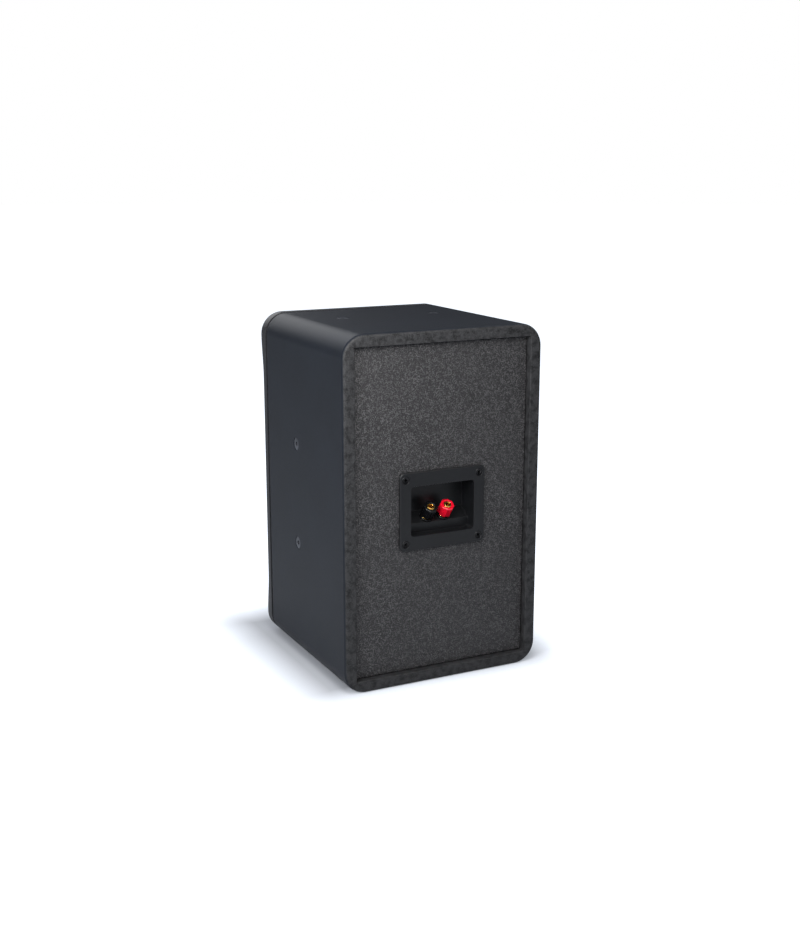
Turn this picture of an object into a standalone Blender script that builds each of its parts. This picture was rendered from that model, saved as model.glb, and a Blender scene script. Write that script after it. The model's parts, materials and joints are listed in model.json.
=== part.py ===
"""A closed-box two-way bookshelf loudspeaker, seen as it comes apart on a bench.

Metres, +Z up. The front (grille) faces -Y and the terminal cup faces +Y. The origin is under the
middle of the whole object, on the surface that it stands on.
"""

import math

import bmesh
import bpy
from mathutils import Matrix, Vector

# ---------------------------------------------------------------- driving dimensions (metres)
GAP = 0.0003                      # between pieces that touch or are glued

CABINET_WIDTH = 0.2075
CABINET_HEIGHT = 0.340
CABINET_DEPTH = 0.189
CORNER_RADIUS = 0.022             # of the outline seen from the front
CORNER_STEPS = 7
EDGE_ROUNDING = 0.002             # of the cabinet's front and rear edges
WALL = 0.012                      # board thickness
PANEL_RECESS = 0.0065             # rear panel behind the cabinet's rear edge
PANEL_THICKNESS = 0.012
BAFFLE_THICKNESS = 0.016

GRILLE_SHADOW_GAP = 0.0012        # the grille stands this far off the cabinet
RIM_DEPTH_MIDDLE = 0.0094         # grille depth halfway up
RIM_DEPTH_ENDS = 0.0133           # grille depth at its top and bottom
RIM_RISE_NEAR = 0.022             # from an end of the grille: where the depth starts to fall
RIM_RISE_FAR = 0.065              # and where it has reached the middle depth
RIM_ROUNDING = 0.0025
RISE_STEPS = 5                    # points up each curved stretch of the rim
RIM_CORNER_STEPS = 5
SHEET_CORNER_STEPS = 4
LEAST_CORNER_RADIUS = 0.002       # of the frame's inner outline
RIM_WIDTH = 0.008                 # visible border round the perforated sheet
FRAME_WIDTH = 0.022               # the whole frame, ledge behind the sheet included
SHEET_THICKNESS = 0.001
SHEET_SETBACK = 0.0006            # sheet behind the border's front
LEDGE_SETBACK = 0.0020
PEG_RADIUS = 0.003
PEG_LENGTH = 0.010
PEG_ROOT = 0.002                  # sunk in the frame it is moulded with
PEG_FROM_WALL = 0.006             # peg axis inside the cabinet's inner wall
PEG_FROM_END = (0.024, 0.205)     # lower and middle pegs above the bottom; the lower value again from the top

PLUG_SPACING = 0.100              # between the threaded inserts of one face
PLUG_CENTRE_HEIGHT = 0.171
SIDE_PLUG_FROM_FRONT = 0.0765
TOP_PLUG_FROM_FRONT = 0.0700
PLUG_HEAD_RADIUS = 0.0062
PLUG_THREAD_RADIUS = 0.0030
PLUG_LENGTH = 0.0105
PLUG_SOCKET_RADIUS = 0.0022       # of its hexagon socket
PLUG_SOCKET_DEPTH = 0.0024

CUP_WIDTH = 0.090
CUP_HEIGHT = 0.0755
CUP_CENTRE_HEIGHT = 0.170
CUP_CORNER_RADIUS = 0.0035
CUP_PROUD = 0.0030                # plate front above the rear panel
CUP_BEVEL = 0.0008
CUP_WALL = 0.0025
OPENING_WIDTH = 0.067
OPENING_HEIGHT = 0.048
POCKET_DEPTH = 0.024              # plate front to the upper back wall
LEDGE_DEPTH = 0.012               # plate front to the lower ledge
LEDGE_HEIGHT = 0.0087
GASKET_THICKNESS = 0.0012
GASKET_WIDTH = 0.0025
GASKET_CORNER_RADIUS = 0.002
CUP_SCREW_SPACING_X = 0.078
CUP_SCREW_SPACING_Z = 0.062
CUP_SCREW_HEAD_RADIUS = 0.0036
CUP_SCREW_RADIUS = 0.0015
CUP_SCREW_LENGTH = 0.013

POST_SPACING = 0.018
POST_TILT = math.radians(52)      # of a post's axis above the horizontal
POST_BASE_DEPTH = 0.017           # plate front to the post's foot
BUSHING_RADIUS = 0.0068
BUSHING_THICKNESS = 0.0018
BUSHING_WALL = 0.0012             # of its neck, through the cup
COLLAR_RADIUS = 0.0055
COLLAR_THICKNESS = 0.0007
CAP_RADIUS = 0.0070
CAP_FLATS = 8
CAP_LENGTH = 0.0125
CAP_EDGE = 0.0008                 # bevel at its outer end
CAP_TAPER = 0.0016                # bevel at its inner end
INSERT_RADIUS = 0.00375
STUD_RADIUS = 0.0027
SOCKET_RADIUS = 0.0021            # for a 4 mm plug
SOCKET_DEPTH = 0.012
STUD_TAIL = 0.012                 # behind the ramp
NUT_FLATS = 0.008
NUT_THICKNESS = 0.0025

WOOFER_HEIGHT = 0.112
WOOFER_RADIUS = 0.0825
WOOFER_SEAT = 0.0010              # flange front behind the baffle's front
WOOFER_FLANGE = 0.0040
WOOFER_FLANGE_WIDTH = 0.0085      # on the baffle, round the cutout
WOOFER_FLANGE_STEP = 0.0004       # the flange's inner wall leans out by this
WOOFER_GASKET_THICKNESS = 0.0010
WOOFER_GASKET_MARGIN = 0.0005     # inside both edges of its seat
SURROUND_INSET = 0.0110           # surround's outer edge from the flange's outer edge
SURROUND_GLUE_WIDTH = 0.0025      # flat outer edge
SURROUND_ROLL_WIDTH = 0.0110
SURROUND_ROLL_STEPS = 5
SURROUND_INNER_OVERLAP = 0.0030   # under the cone's edge
SURROUND_SEAT = 0.0030            # depths behind the baffle's front face, from here on
SURROUND_THICKNESS = 0.0008
CONE_EDGE_GAP = 0.0015            # cone's edge to the roll
CONE_FRONT = 0.0050
CONE_NECK = 0.0240
CONE_THICKNESS = 0.0010
CONE_STEPS = 4
DUST_CAP_OVERLAP = 0.0062         # beyond the coil former
DUST_CAP_RISE = 0.0070
FORMER_RADIUS = 0.0168
FORMER_THICKNESS = 0.0005
FORMER_IN_CONE = 0.0040           # its front end, ahead of the cone's neck
FORMER_TAIL = 0.0045              # behind the winding
WINDING_THICKNESS = 0.0006
WINDING_LENGTH = 0.0100
SPIDER_RADIUS = 0.0495
SPIDER_GLUE_WIDTH = 0.0050
SPIDER_DEPTH = 0.0305
SPIDER_WAVES = 3
SPIDER_WAVE_HEIGHT = 0.0012
SPIDER_THICKNESS = 0.0006
BASKET_BACK = 0.0420
BASKET_BORE_CLEARANCE = 0.0018    # round the top plate's bore
BASKET_THICKNESS = 0.0025
BASKET_WINDOWS = 6
WINDOW_HALF_ANGLE = math.radians(19)
WINDOW_FRONT = 0.0095
WINDOW_BACK = 0.0275
TOP_PLATE_RADIUS = 0.042
TOP_PLATE_THICKNESS = 0.0060
MAGNET_RADIUS = 0.045
MAGNET_THICKNESS = 0.016
MAGNET_BORE_CLEARANCE = 0.0043    # round the top plate's bore
YOKE_THICKNESS = 0.0060
YOKE_EDGE = 0.0010
POLE_CLEARANCE = 0.0007
POLE_VENT = 0.004
COIL_CLEARANCE = 0.0005
WOOFER_SCREW_INSET = 0.0050       # screw's axis from the flange's outer edge
WOOFER_SCREWS = 4
WOOFER_SCREW_RADIUS = 0.0020
WOOFER_SCREW_HEAD = 0.0040
WOOFER_SCREW_HEAD_HEIGHT = 0.0020
WOOFER_SCREW_SOCKET_RADIUS = 0.0014
WOOFER_SCREW_SOCKET_DEPTH = 0.0012
WOOFER_SCREW_LENGTH = 0.0125

TWEETER_HEIGHT = 0.252
TWEETER_RADIUS = 0.050
TWEETER_SEAT = 0.0005
TWEETER_FLANGE = 0.0040
TWEETER_FLANGE_WIDTH = 0.0125     # on the baffle, round the cutout
DOME_RADIUS = 0.0126
DOME_RISE = 0.0046
DOME_THICKNESS = 0.0003
DOME_STEPS = 4
DOME_ROLL_STEPS = 3
DOME_ROLL_WIDTH = 0.0030
DOME_ROLL_MARGIN = 0.0010         # roll's outer edge to the faceplate's throat
DIAPHRAGM_GLUE_WIDTH = 0.0014     # outside the throat
DIAPHRAGM_EDGE_STEP = 0.0001      # the glued edge lies this far behind the dome's foot
HORN_WIDTH = 0.0114               # flare from the throat outwards
HORN_LIP = 0.0008                 # faceplate left behind the flare at the throat
HORN_STEPS = 3
TWEETER_COIL_INSET = 0.0001       # coil's bore inside the dome's edge
TWEETER_COIL_THICKNESS = 0.0007
TWEETER_COIL_LENGTH = 0.0060
TWEETER_COIL_AHEAD = 0.0002       # of the top plate's front
DIAPHRAGM_SPACE = 0.0011          # faceplate's back to the top plate
TWEETER_PLATE_RADIUS = 0.035
TWEETER_PLATE_THICKNESS = 0.0040
TWEETER_MAGNET_RADIUS = 0.030
TWEETER_MAGNET_CLEARANCE = 0.0038 # round the coil
TWEETER_MAGNET_THICKNESS = 0.010
TWEETER_YOKE_RADIUS = 0.028
TWEETER_YOKE_THICKNESS = 0.0045
TWEETER_POLE_CLEARANCE = 0.0005
TWEETER_SCREW_INSET = 0.0060      # screw's axis from the flange's outer edge
TWEETER_SCREWS = 3
TWEETER_SCREW_RADIUS = 0.0017
TWEETER_SCREW_HEAD = 0.0034
TWEETER_SCREW_LENGTH = 0.0125

BOARD_SIZE = (0.110, 0.070, 0.0016)
BOARD_CENTRE_Y = 0.025
INDUCTOR_RADIUS = 0.022
INDUCTOR_BORE = 0.009
INDUCTOR_HEIGHT = 0.020
INDUCTOR_X = -0.028
CAPACITOR_RADIUS = 0.009
CAPACITOR_LENGTH = 0.038
CAPACITOR_EDGE = 0.001
CAPACITOR_X = 0.026
CABLE_RADIUS = 0.0025
WADDING_SIZE = (0.140, 0.090, 0.105)
WADDING_CENTRE_Y = 0.020
WADDING_TOP_GAP = 0.003
WADDING_ROUNDING = 0.012

# sides of each round piece
WOOFER_FACETS = 32
TWEETER_FACETS = 24
POST_FACETS = 16
SCREW_FACETS = 12
HOLE_FACETS = 8
HOLE_TURN = 22.5                  # degrees: puts a flat, not a corner, of an eight-sided hole on each side

CUTTER_REACH = 0.010              # how far a cutter runs past what it cuts

# ---------------------------------------------------------------- places worked out from them
WHOLE_DEPTH = CABINET_DEPTH + GRILLE_SHADOW_GAP + RIM_DEPTH_ENDS
REAR_Y = WHOLE_DEPTH / 2
FRONT_Y = REAR_Y - CABINET_DEPTH            # cabinet's front edge and baffle's front face
GRILLE_BACK_Y = FRONT_Y - GRILLE_SHADOW_GAP
PANEL_Y = REAR_Y - PANEL_RECESS
CUP_FRONT_Y = PANEL_Y + CUP_PROUD
INNER_WIDTH = CABINET_WIDTH - 2 * WALL
INNER_HEIGHT = CABINET_HEIGHT - 2 * WALL
OPENING_BOTTOM = CUP_CENTRE_HEIGHT - OPENING_HEIGHT / 2
OPENING_TOP = CUP_CENTRE_HEIGHT + OPENING_HEIGHT / 2
RAMP_BOTTOM = OPENING_BOTTOM + LEDGE_HEIGHT
RAMP_SLOPE = 1 / math.tan(POST_TILT)        # height gained for each metre of depth
POST_FOOT_HEIGHT = RAMP_BOTTOM + (POST_BASE_DEPTH - LEDGE_DEPTH) * RAMP_SLOPE
BUSHING_NECK_RADIUS = STUD_RADIUS + BUSHING_WALL
WOOFER_REBATE = WOOFER_SEAT + WOOFER_FLANGE + WOOFER_GASKET_THICKNESS + 2 * GAP
WOOFER_CUTOUT_RADIUS = WOOFER_RADIUS - WOOFER_FLANGE_WIDTH
WOOFER_SCREW_CIRCLE = WOOFER_RADIUS - WOOFER_SCREW_INSET
SURROUND_EDGE = WOOFER_RADIUS - SURROUND_INSET
ROLL_OUTER = SURROUND_EDGE - SURROUND_GLUE_WIDTH
ROLL_INNER = ROLL_OUTER - SURROUND_ROLL_WIDTH
CONE_RADIUS = ROLL_INNER - CONE_EDGE_GAP
DUST_CAP_RADIUS = FORMER_RADIUS + DUST_CAP_OVERLAP
BASKET_LEDGE = SPIDER_DEPTH + SPIDER_THICKNESS + GAP
BASKET_LEDGE_INNER = SPIDER_RADIUS - SPIDER_GLUE_WIDTH
TOP_PLATE_BORE = FORMER_RADIUS + GAP + WINDING_THICKNESS + COIL_CLEARANCE
BASKET_BORE = TOP_PLATE_BORE + BASKET_BORE_CLEARANCE
MAGNET_BORE = TOP_PLATE_BORE + MAGNET_BORE_CLEARANCE
POLE_RADIUS = FORMER_RADIUS - FORMER_THICKNESS - POLE_CLEARANCE
TOP_PLATE_FRONT = BASKET_BACK + GAP
TOP_PLATE_BACK = TOP_PLATE_FRONT + TOP_PLATE_THICKNESS
WINDING_FRONT = (TOP_PLATE_FRONT + TOP_PLATE_BACK - WINDING_LENGTH) / 2
WINDING_BACK = WINDING_FRONT + WINDING_LENGTH
FORMER_FRONT = CONE_NECK - FORMER_IN_CONE
FORMER_BACK = WINDING_BACK + FORMER_TAIL
MAGNET_FRONT = TOP_PLATE_BACK + GAP
MAGNET_BACK = MAGNET_FRONT + MAGNET_THICKNESS
YOKE_FRONT = MAGNET_BACK + GAP
TWEETER_REBATE = TWEETER_SEAT + TWEETER_FLANGE + GAP
TWEETER_CUTOUT_RADIUS = TWEETER_RADIUS - TWEETER_FLANGE_WIDTH
TWEETER_SCREW_CIRCLE = TWEETER_RADIUS - TWEETER_SCREW_INSET
THROAT_RADIUS = DOME_RADIUS + DOME_ROLL_WIDTH + DOME_ROLL_MARGIN
HORN_RADIUS = THROAT_RADIUS + HORN_WIDTH
DIAPHRAGM_EDGE = THROAT_RADIUS + DIAPHRAGM_GLUE_WIDTH
TWEETER_COIL_INNER = DOME_RADIUS - TWEETER_COIL_INSET
TWEETER_COIL_OUTER = TWEETER_COIL_INNER + TWEETER_COIL_THICKNESS
TWEETER_MAGNET_BORE = TWEETER_COIL_OUTER + TWEETER_MAGNET_CLEARANCE
TWEETER_POLE_RADIUS = TWEETER_COIL_INNER - TWEETER_POLE_CLEARANCE
TWEETER_PLATE_FRONT = TWEETER_SEAT + TWEETER_FLANGE + DIAPHRAGM_SPACE
TWEETER_PLATE_BACK = TWEETER_PLATE_FRONT + TWEETER_PLATE_THICKNESS
TWEETER_MAGNET_FRONT = TWEETER_PLATE_BACK + GAP
TWEETER_MAGNET_BACK = TWEETER_MAGNET_FRONT + TWEETER_MAGNET_THICKNESS
TWEETER_YOKE_FRONT = TWEETER_MAGNET_BACK + GAP
BOARD_BOTTOM = WALL + GAP
BOARD_TOP = BOARD_BOTTOM + BOARD_SIZE[2]


# ---------------------------------------------------------------- scene and material helpers
def clear_scene():
    for obj in list(bpy.data.objects):
        bpy.data.objects.remove(obj, do_unlink=True)


def make_material(name, colour, roughness, metallic=0.0):
    material = bpy.data.materials.new(name)
    material.use_nodes = True
    shader = material.node_tree.nodes["Principled BSDF"]
    shader.inputs["Base Color"].default_value = (*colour, 1.0)
    shader.inputs["Roughness"].default_value = roughness
    shader.inputs["Metallic"].default_value = metallic
    return material


def make_materials():
    return {
        "vinyl": make_material("vinyl_wrap", (0.045, 0.047, 0.055), 0.45),
        "panel": make_material("textured_vinyl", (0.055, 0.055, 0.055), 0.6),
        "paint": make_material("black_paint", (0.02, 0.02, 0.02), 0.5),
        "plastic": make_material("black_plastic", (0.03, 0.03, 0.034), 0.4),
        "red": make_material("red_plastic", (0.6, 0.01, 0.03), 0.2),
        "gold": make_material("gold_plate", (0.9, 0.6, 0.2), 0.2, 1.0),
        "black_steel": make_material("black_steel", (0.03, 0.03, 0.03), 0.35, 1.0),
        "steel": make_material("zinc_steel", (0.6, 0.6, 0.62), 0.35, 1.0),
        "basket": make_material("cast_basket", (0.05, 0.05, 0.05), 0.5, 1.0),
        "ferrite": make_material("ferrite", (0.05, 0.05, 0.055), 0.7),
        "rubber": make_material("butyl_rubber", (0.02, 0.02, 0.02), 0.6),
        "foam": make_material("gasket_foam", (0.03, 0.03, 0.03), 0.9),
        "cone": make_material("coated_paper", (0.04, 0.04, 0.045), 0.7),
        "silk": make_material("silk_dome", (0.03, 0.03, 0.035), 0.6),
        "spider": make_material("treated_cotton", (0.5, 0.33, 0.12), 0.9),
        "former": make_material("aluminium_former", (0.7, 0.7, 0.7), 0.35, 1.0),
        "copper": make_material("enamelled_copper", (0.6, 0.25, 0.1), 0.35, 1.0),
        "board": make_material("circuit_board", (0.02, 0.12, 0.05), 0.5),
        "film": make_material("capacitor_film", (0.5, 0.05, 0.03), 0.4),
        "cable": make_material("cable_jacket", (0.02, 0.02, 0.02), 0.5),
        "wadding": make_material("polyester_wadding", (0.75, 0.75, 0.72), 0.95),
    }


# ---------------------------------------------------------------- shape helpers
def rounded_rectangle(width, height, radius, steps, centre=(0.0, 0.0)):
    """Points (x, z), anticlockwise seen from the front, from the right side's lower end."""
    points = []
    corners = ((1, -1, -90), (1, 1, 0), (-1, 1, 90), (-1, -1, 180))
    for side_x, side_z, start in corners:
        corner_x = centre[0] + side_x * (width / 2 - radius)
        corner_z = centre[1] + side_z * (height / 2 - radius)
        for step in range(steps + 1):
            angle = math.radians(start + 90 * step / steps)
            points.append((corner_x + radius * math.cos(angle), corner_z + radius * math.sin(angle)))
    return points


def prism(bm, outline, place, low, high):
    """Extrudes an outline of (u, v) points from low to high; place(u, v, t) gives the 3-D point."""
    ends = []
    for t in (low, high):
        ends.append([bm.verts.new(place(u, v, t)) for u, v in outline])
    count = len(outline)
    bm.faces.new(ends[0])
    bm.faces.new(list(reversed(ends[1])))
    for i in range(count):
        j = (i + 1) % count
        bm.faces.new((ends[0][i], ends[0][j], ends[1][j], ends[1][i]))


def along_y(u, v, t):
    return (u, t, v)


def along_x(u, v, t):
    return (t, u, v)


def box(bm, centre, size):
    matrix = Matrix.Translation(centre) @ Matrix.Diagonal((*size, 1.0))
    bmesh.ops.create_cube(bm, size=1.0, matrix=matrix)


def lathe(bm, profile, steps, closed=True):
    """Turns (radius, along) points round the Y axis. An open profile starts and ends on the axis."""
    verts = [bm.verts.new((radius, along, 0.0)) for radius, along in profile]
    edges = [bm.edges.new(pair) for pair in zip(verts, verts[1:])]
    if closed:
        edges.append(bm.edges.new((verts[-1], verts[0])))
    bmesh.ops.spin(bm, geom=verts + edges, cent=(0, 0, 0), axis=(0, 1, 0), angle=math.tau, steps=steps)


def rod(radius, low, high):
    """Open profile of a plain rod between two places along the axis."""
    return [(0.0, low), (radius, low), (radius, high), (0.0, high)]


def ring(inner, outer, low, high):
    """Closed profile of a flat ring or tube."""
    return [(inner, low), (outer, low), (outer, high), (inner, high)]


def finish_mesh(bm, name):
    bmesh.ops.remove_doubles(bm, verts=bm.verts, dist=1e-6)
    bmesh.ops.recalc_face_normals(bm, faces=bm.faces)
    mesh = bpy.data.meshes.new(name)
    bm.to_mesh(mesh)
    bm.free()
    mesh.shade_smooth()
    mesh.set_sharp_from_angle(angle=math.radians(35))
    return mesh


def add_object(name, bm, material, location=(0, 0, 0), rotation=(0, 0, 0), parent=None):
    obj = bpy.data.objects.new(name, finish_mesh(bm, name))
    bpy.context.scene.collection.objects.link(obj)
    obj.location = location
    obj.rotation_euler = rotation
    obj.parent = parent
    if material is not None:
        obj.data.materials.append(material)
    return obj


def add_copy(name, source, location, rotation=(0, 0, 0)):
    """Another object that shares its mesh with the source."""
    obj = bpy.data.objects.new(name, source.data)
    bpy.context.scene.collection.objects.link(obj)
    obj.location = location
    obj.rotation_euler = rotation
    return obj


def add_lathe(name, profile, steps, material, location, closed=True, **place):
    bm = bmesh.new()
    lathe(bm, profile, steps, closed)
    return add_object(name, bm, material, location, **place)


def add_empty(name, location, rotation=(0, 0, 0)):
    empty = bpy.data.objects.new(name, None)
    bpy.context.scene.collection.objects.link(empty)
    empty.location = location
    empty.rotation_euler = rotation
    return empty


def add_helper(name, bm, location=(0, 0, 0), rotation=(0, 0, 0), parent=None):
    """A cutter, or a shape to be joined on: not a piece of the object."""
    helper = add_object(name, bm, None, location, rotation, parent)
    helper.hide_render = True
    helper.display_type = "WIRE"
    return helper


def combine(target, helper, operation="DIFFERENCE"):
    modifier = target.modifiers.new(helper.name, "BOOLEAN")
    modifier.operation = operation
    modifier.solver = "EXACT"
    modifier.object = helper


def on_circle(radius, count, start_degrees):
    """Points (x, z) spread evenly on a circle."""
    places = []
    for i in range(count):
        angle = math.radians(start_degrees + 360 * i / count)
        places.append((radius * math.cos(angle), radius * math.sin(angle)))
    return places


def add_holes(bm, places, radius, low, high):
    """Eight-sided holes along Y, as prisms, at the (x, z) places."""
    for x, z in places:
        circle = [(x + dx, z + dz) for dx, dz in on_circle(radius, HOLE_FACETS, HOLE_TURN)]
        prism(bm, circle, along_y, low, high)


def countersink(head, hole, top, length):
    """Profile of a cutter for a countersunk screw, whose head starts at top."""
    return [
        (0, -CUTTER_REACH),
        (head, -CUTTER_REACH),
        (head, top),
        (hole, top + head - hole),
        (hole, length),
        (0, length),
    ]


def smooth_route(points, samples):
    """A Catmull-Rom curve through the points, sampled between each pair."""
    ends = [2 * points[0] - points[1], *points, 2 * points[-1] - points[-2]]
    route = []
    for before, start, end, after in zip(ends, ends[1:], ends[2:], ends[3:]):
        for step in range(samples):
            t = step / samples
            part_a = 2 * start + (end - before) * t
            part_b = (2 * before - 5 * start + 4 * end - after) * t**2
            part_c = (3 * start - before - 3 * end + after) * t**3
            route.append((part_a + part_b + part_c) / 2)
    return [*route, points[-1]]


# ---------------------------------------------------------------- cabinet
def plug_places():
    """Name, outer end and rotation of each plug screw; its inward direction is the local +Y."""
    side_y = FRONT_Y + SIDE_PLUG_FROM_FRONT
    top_y = FRONT_Y + TOP_PLUG_FROM_FRONT
    heights = (PLUG_CENTRE_HEIGHT + PLUG_SPACING / 2, PLUG_CENTRE_HEIGHT - PLUG_SPACING / 2)
    quarter = math.pi / 2
    places = []
    for side, sign in (("right", 1), ("left", -1)):
        for level, height in zip(("upper", "lower"), heights):
            end = (sign * CABINET_WIDTH / 2, side_y, height)
            places.append((f"plug_screw_{side}_{level}", end, (0, 0, sign * quarter)))
    for side, sign in (("right", 1), ("left", -1)):
        end = (sign * PLUG_SPACING / 2, top_y, CABINET_HEIGHT)
        places.append((f"plug_screw_top_{side}", end, (-quarter, 0, 0)))
    return places


def make_cabinet(materials):
    outline = rounded_rectangle(
        CABINET_WIDTH, CABINET_HEIGHT, CORNER_RADIUS, CORNER_STEPS, (0, CABINET_HEIGHT / 2)
    )
    bm = bmesh.new()
    prism(bm, outline, along_y, FRONT_Y, REAR_Y)
    shell = add_object("cabinet_shell", bm, materials["vinyl"])
    bevel = shell.modifiers.new("edge_rounding", "BEVEL")
    bevel.width = EDGE_ROUNDING
    bevel.segments = 2
    bevel.limit_method = "ANGLE"
    bevel.angle_limit = math.radians(50)
    bm = bmesh.new()
    box(bm, (0, 0, CABINET_HEIGHT / 2), (INNER_WIDTH, 2 * WHOLE_DEPTH, INNER_HEIGHT))
    combine(shell, add_helper("chamber_cutter", bm))
    profile = countersink(PLUG_HEAD_RADIUS + GAP, PLUG_THREAD_RADIUS + GAP, GAP, 2 * WALL)
    for name, end, rotation in plug_places():
        bm = bmesh.new()
        lathe(bm, profile, SCREW_FACETS, closed=False)
        combine(shell, add_helper(f"{name}_seat", bm, end, rotation))


def make_plug_screws(materials):
    """Countersunk socket screws that close the bracket inserts."""
    cone = PLUG_HEAD_RADIUS - PLUG_THREAD_RADIUS
    profile = [
        (0, PLUG_SOCKET_DEPTH),
        (PLUG_SOCKET_RADIUS, PLUG_SOCKET_DEPTH),
        (PLUG_SOCKET_RADIUS, GAP),
        (PLUG_HEAD_RADIUS, GAP),
        (PLUG_HEAD_RADIUS, 2 * GAP),
        (PLUG_THREAD_RADIUS, 2 * GAP + cone),
        (PLUG_THREAD_RADIUS, PLUG_LENGTH),
        (0, PLUG_LENGTH),
    ]
    source = None
    for name, end, rotation in plug_places():
        if source is None:
            source = add_lathe(
                name, profile, SCREW_FACETS, materials["black_steel"], end, False, rotation=rotation
            )
        else:
            add_copy(name, source, end, rotation)


def make_rear_panel(materials):
    bm = bmesh.new()
    centre = (0, PANEL_Y - PANEL_THICKNESS / 2, CABINET_HEIGHT / 2)
    box(bm, centre, (INNER_WIDTH - 2 * GAP, PANEL_THICKNESS, INNER_HEIGHT - 2 * GAP))
    panel = add_object("rear_panel", bm, materials["panel"])
    bm = bmesh.new()
    around = 2 * (CUP_WALL + 2 * GAP)
    hole = (OPENING_WIDTH + around, 4 * PANEL_THICKNESS, OPENING_HEIGHT + around)
    box(bm, (0, PANEL_Y, CUP_CENTRE_HEIGHT), hole)
    low, high = PANEL_Y - 2 * PANEL_THICKNESS, PANEL_Y + PANEL_THICKNESS
    add_holes(bm, cup_screw_places(), CUP_SCREW_RADIUS + GAP, low, high)
    combine(panel, add_helper("cup_cutter", bm))


def peg_places():
    side = INNER_WIDTH / 2 - PEG_FROM_WALL
    heights = (*PEG_FROM_END, CABINET_HEIGHT - PEG_FROM_END[0])
    return [(sign * side, height) for sign in (-1, 1) for height in heights]


def make_baffle(materials):
    bm = bmesh.new()
    centre = (0, FRONT_Y + BAFFLE_THICKNESS / 2, CABINET_HEIGHT / 2)
    box(bm, centre, (INNER_WIDTH - 2 * GAP, BAFFLE_THICKNESS, INNER_HEIGHT - 2 * GAP))
    baffle = add_object("front_baffle", bm, materials["paint"])
    through = 2 * BAFFLE_THICKNESS
    woofer_sizes = (WOOFER_RADIUS + GAP, WOOFER_REBATE, WOOFER_CUTOUT_RADIUS)
    tweeter_sizes = (TWEETER_RADIUS + GAP, TWEETER_REBATE, TWEETER_CUTOUT_RADIUS)
    drivers = (
        ("woofer_seat", WOOFER_HEIGHT, woofer_sizes, WOOFER_FACETS),
        ("tweeter_seat", TWEETER_HEIGHT, tweeter_sizes, TWEETER_FACETS),
    )
    for name, height, (rim, rebate, cutout), steps in drivers:
        profile = [
            (0, -through),
            (rim, -through),
            (rim, rebate),
            (cutout, rebate),
            (cutout, through),
            (0, through),
        ]
        bm = bmesh.new()
        lathe(bm, profile, steps, closed=False)
        combine(baffle, add_helper(name, bm, (0, FRONT_Y, height)))
    holes = (
        (peg_places(), 0, PEG_RADIUS),
        (woofer_screw_places(), WOOFER_HEIGHT, WOOFER_SCREW_RADIUS),
        (tweeter_screw_places(), TWEETER_HEIGHT, TWEETER_SCREW_RADIUS),
    )
    bm = bmesh.new()
    for places, height, radius in holes:
        raised = [(x, z + height) for x, z in places]
        add_holes(bm, raised, radius + GAP, FRONT_Y - through, FRONT_Y + through)
    combine(baffle, add_helper("baffle_holes", bm))


# ---------------------------------------------------------------- grille
def rim_depth(height):
    """Depth of the grille at a height: full at the ends, easing to the middle depth."""
    from_end = min(height, CABINET_HEIGHT - height)
    t = (from_end - RIM_RISE_NEAR) / (RIM_RISE_FAR - RIM_RISE_NEAR)
    t = min(max(t, 0.0), 1.0)
    ease = t * t * (3 - 2 * t)
    return RIM_DEPTH_ENDS + (RIM_DEPTH_MIDDLE - RIM_DEPTH_ENDS) * ease


def side_heights(inset):
    """Heights at which the long sides need a point, above the lower corner."""
    low = CORNER_RADIUS
    heights = [low + (RIM_RISE_FAR - low) * i / RISE_STEPS for i in range(1, RISE_STEPS + 1)]
    top = [CABINET_HEIGHT - height for height in reversed(heights)]
    return [height for height in heights + top if inset < height < CABINET_HEIGHT - inset]


def grille_outline(inset, steps):
    """The grille's outline moved inwards, with extra points up the long sides."""
    radius = max(CORNER_RADIUS - inset, LEAST_CORNER_RADIUS)
    points = rounded_rectangle(
        CABINET_WIDTH - 2 * inset, CABINET_HEIGHT - 2 * inset, radius, steps, (0, CABINET_HEIGHT / 2)
    )
    right = points[: steps + 1]
    top = points[steps + 1 : 3 * steps + 3]
    left = points[3 * steps + 3 :]
    half = CABINET_WIDTH / 2 - inset
    heights = side_heights(inset)
    return (
        right
        + [(half, height) for height in heights]
        + top
        + [(-half, height) for height in reversed(heights)]
        + left
    )


def grille_section():
    """Points of the frame's section: inset from the outer edge, and how far behind the front."""
    rounded = []
    for step in range(3):
        angle = math.radians(45 * step)
        inset = RIM_ROUNDING * (1 - math.cos(angle))
        behind = RIM_ROUNDING * (1 - math.sin(angle))
        rounded.append((inset, behind))
    ledge = [(RIM_WIDTH, 0.0), (RIM_WIDTH, LEDGE_SETBACK), (FRAME_WIDTH, LEDGE_SETBACK)]
    return [(0.0, None), *rounded, *ledge, (FRAME_WIDTH, None)]


def make_grille_frame(materials):
    """Swept round the outline; a section point with no depth lies on the flat back."""
    bm = bmesh.new()
    loops = []
    for inset, behind in grille_section():
        loop = []
        for x, z in grille_outline(inset, RIM_CORNER_STEPS):
            depth = 0.0 if behind is None else rim_depth(z) - behind
            loop.append(bm.verts.new((x, GRILLE_BACK_Y - depth, z)))
        loops.append(loop)
    count = len(loops[0])
    for loop, following in zip(loops, loops[1:] + loops[:1]):
        for i in range(count):
            j = (i + 1) % count
            bm.faces.new((loop[i], loop[j], following[j], following[i]))
    frame = add_object("grille_frame", bm, materials["plastic"])
    bm = bmesh.new()
    add_holes(bm, peg_places(), PEG_RADIUS, GRILLE_BACK_Y - PEG_ROOT, GRILLE_BACK_Y + PEG_LENGTH)
    combine(frame, add_helper("grille_pegs", bm), "UNION")


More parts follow.
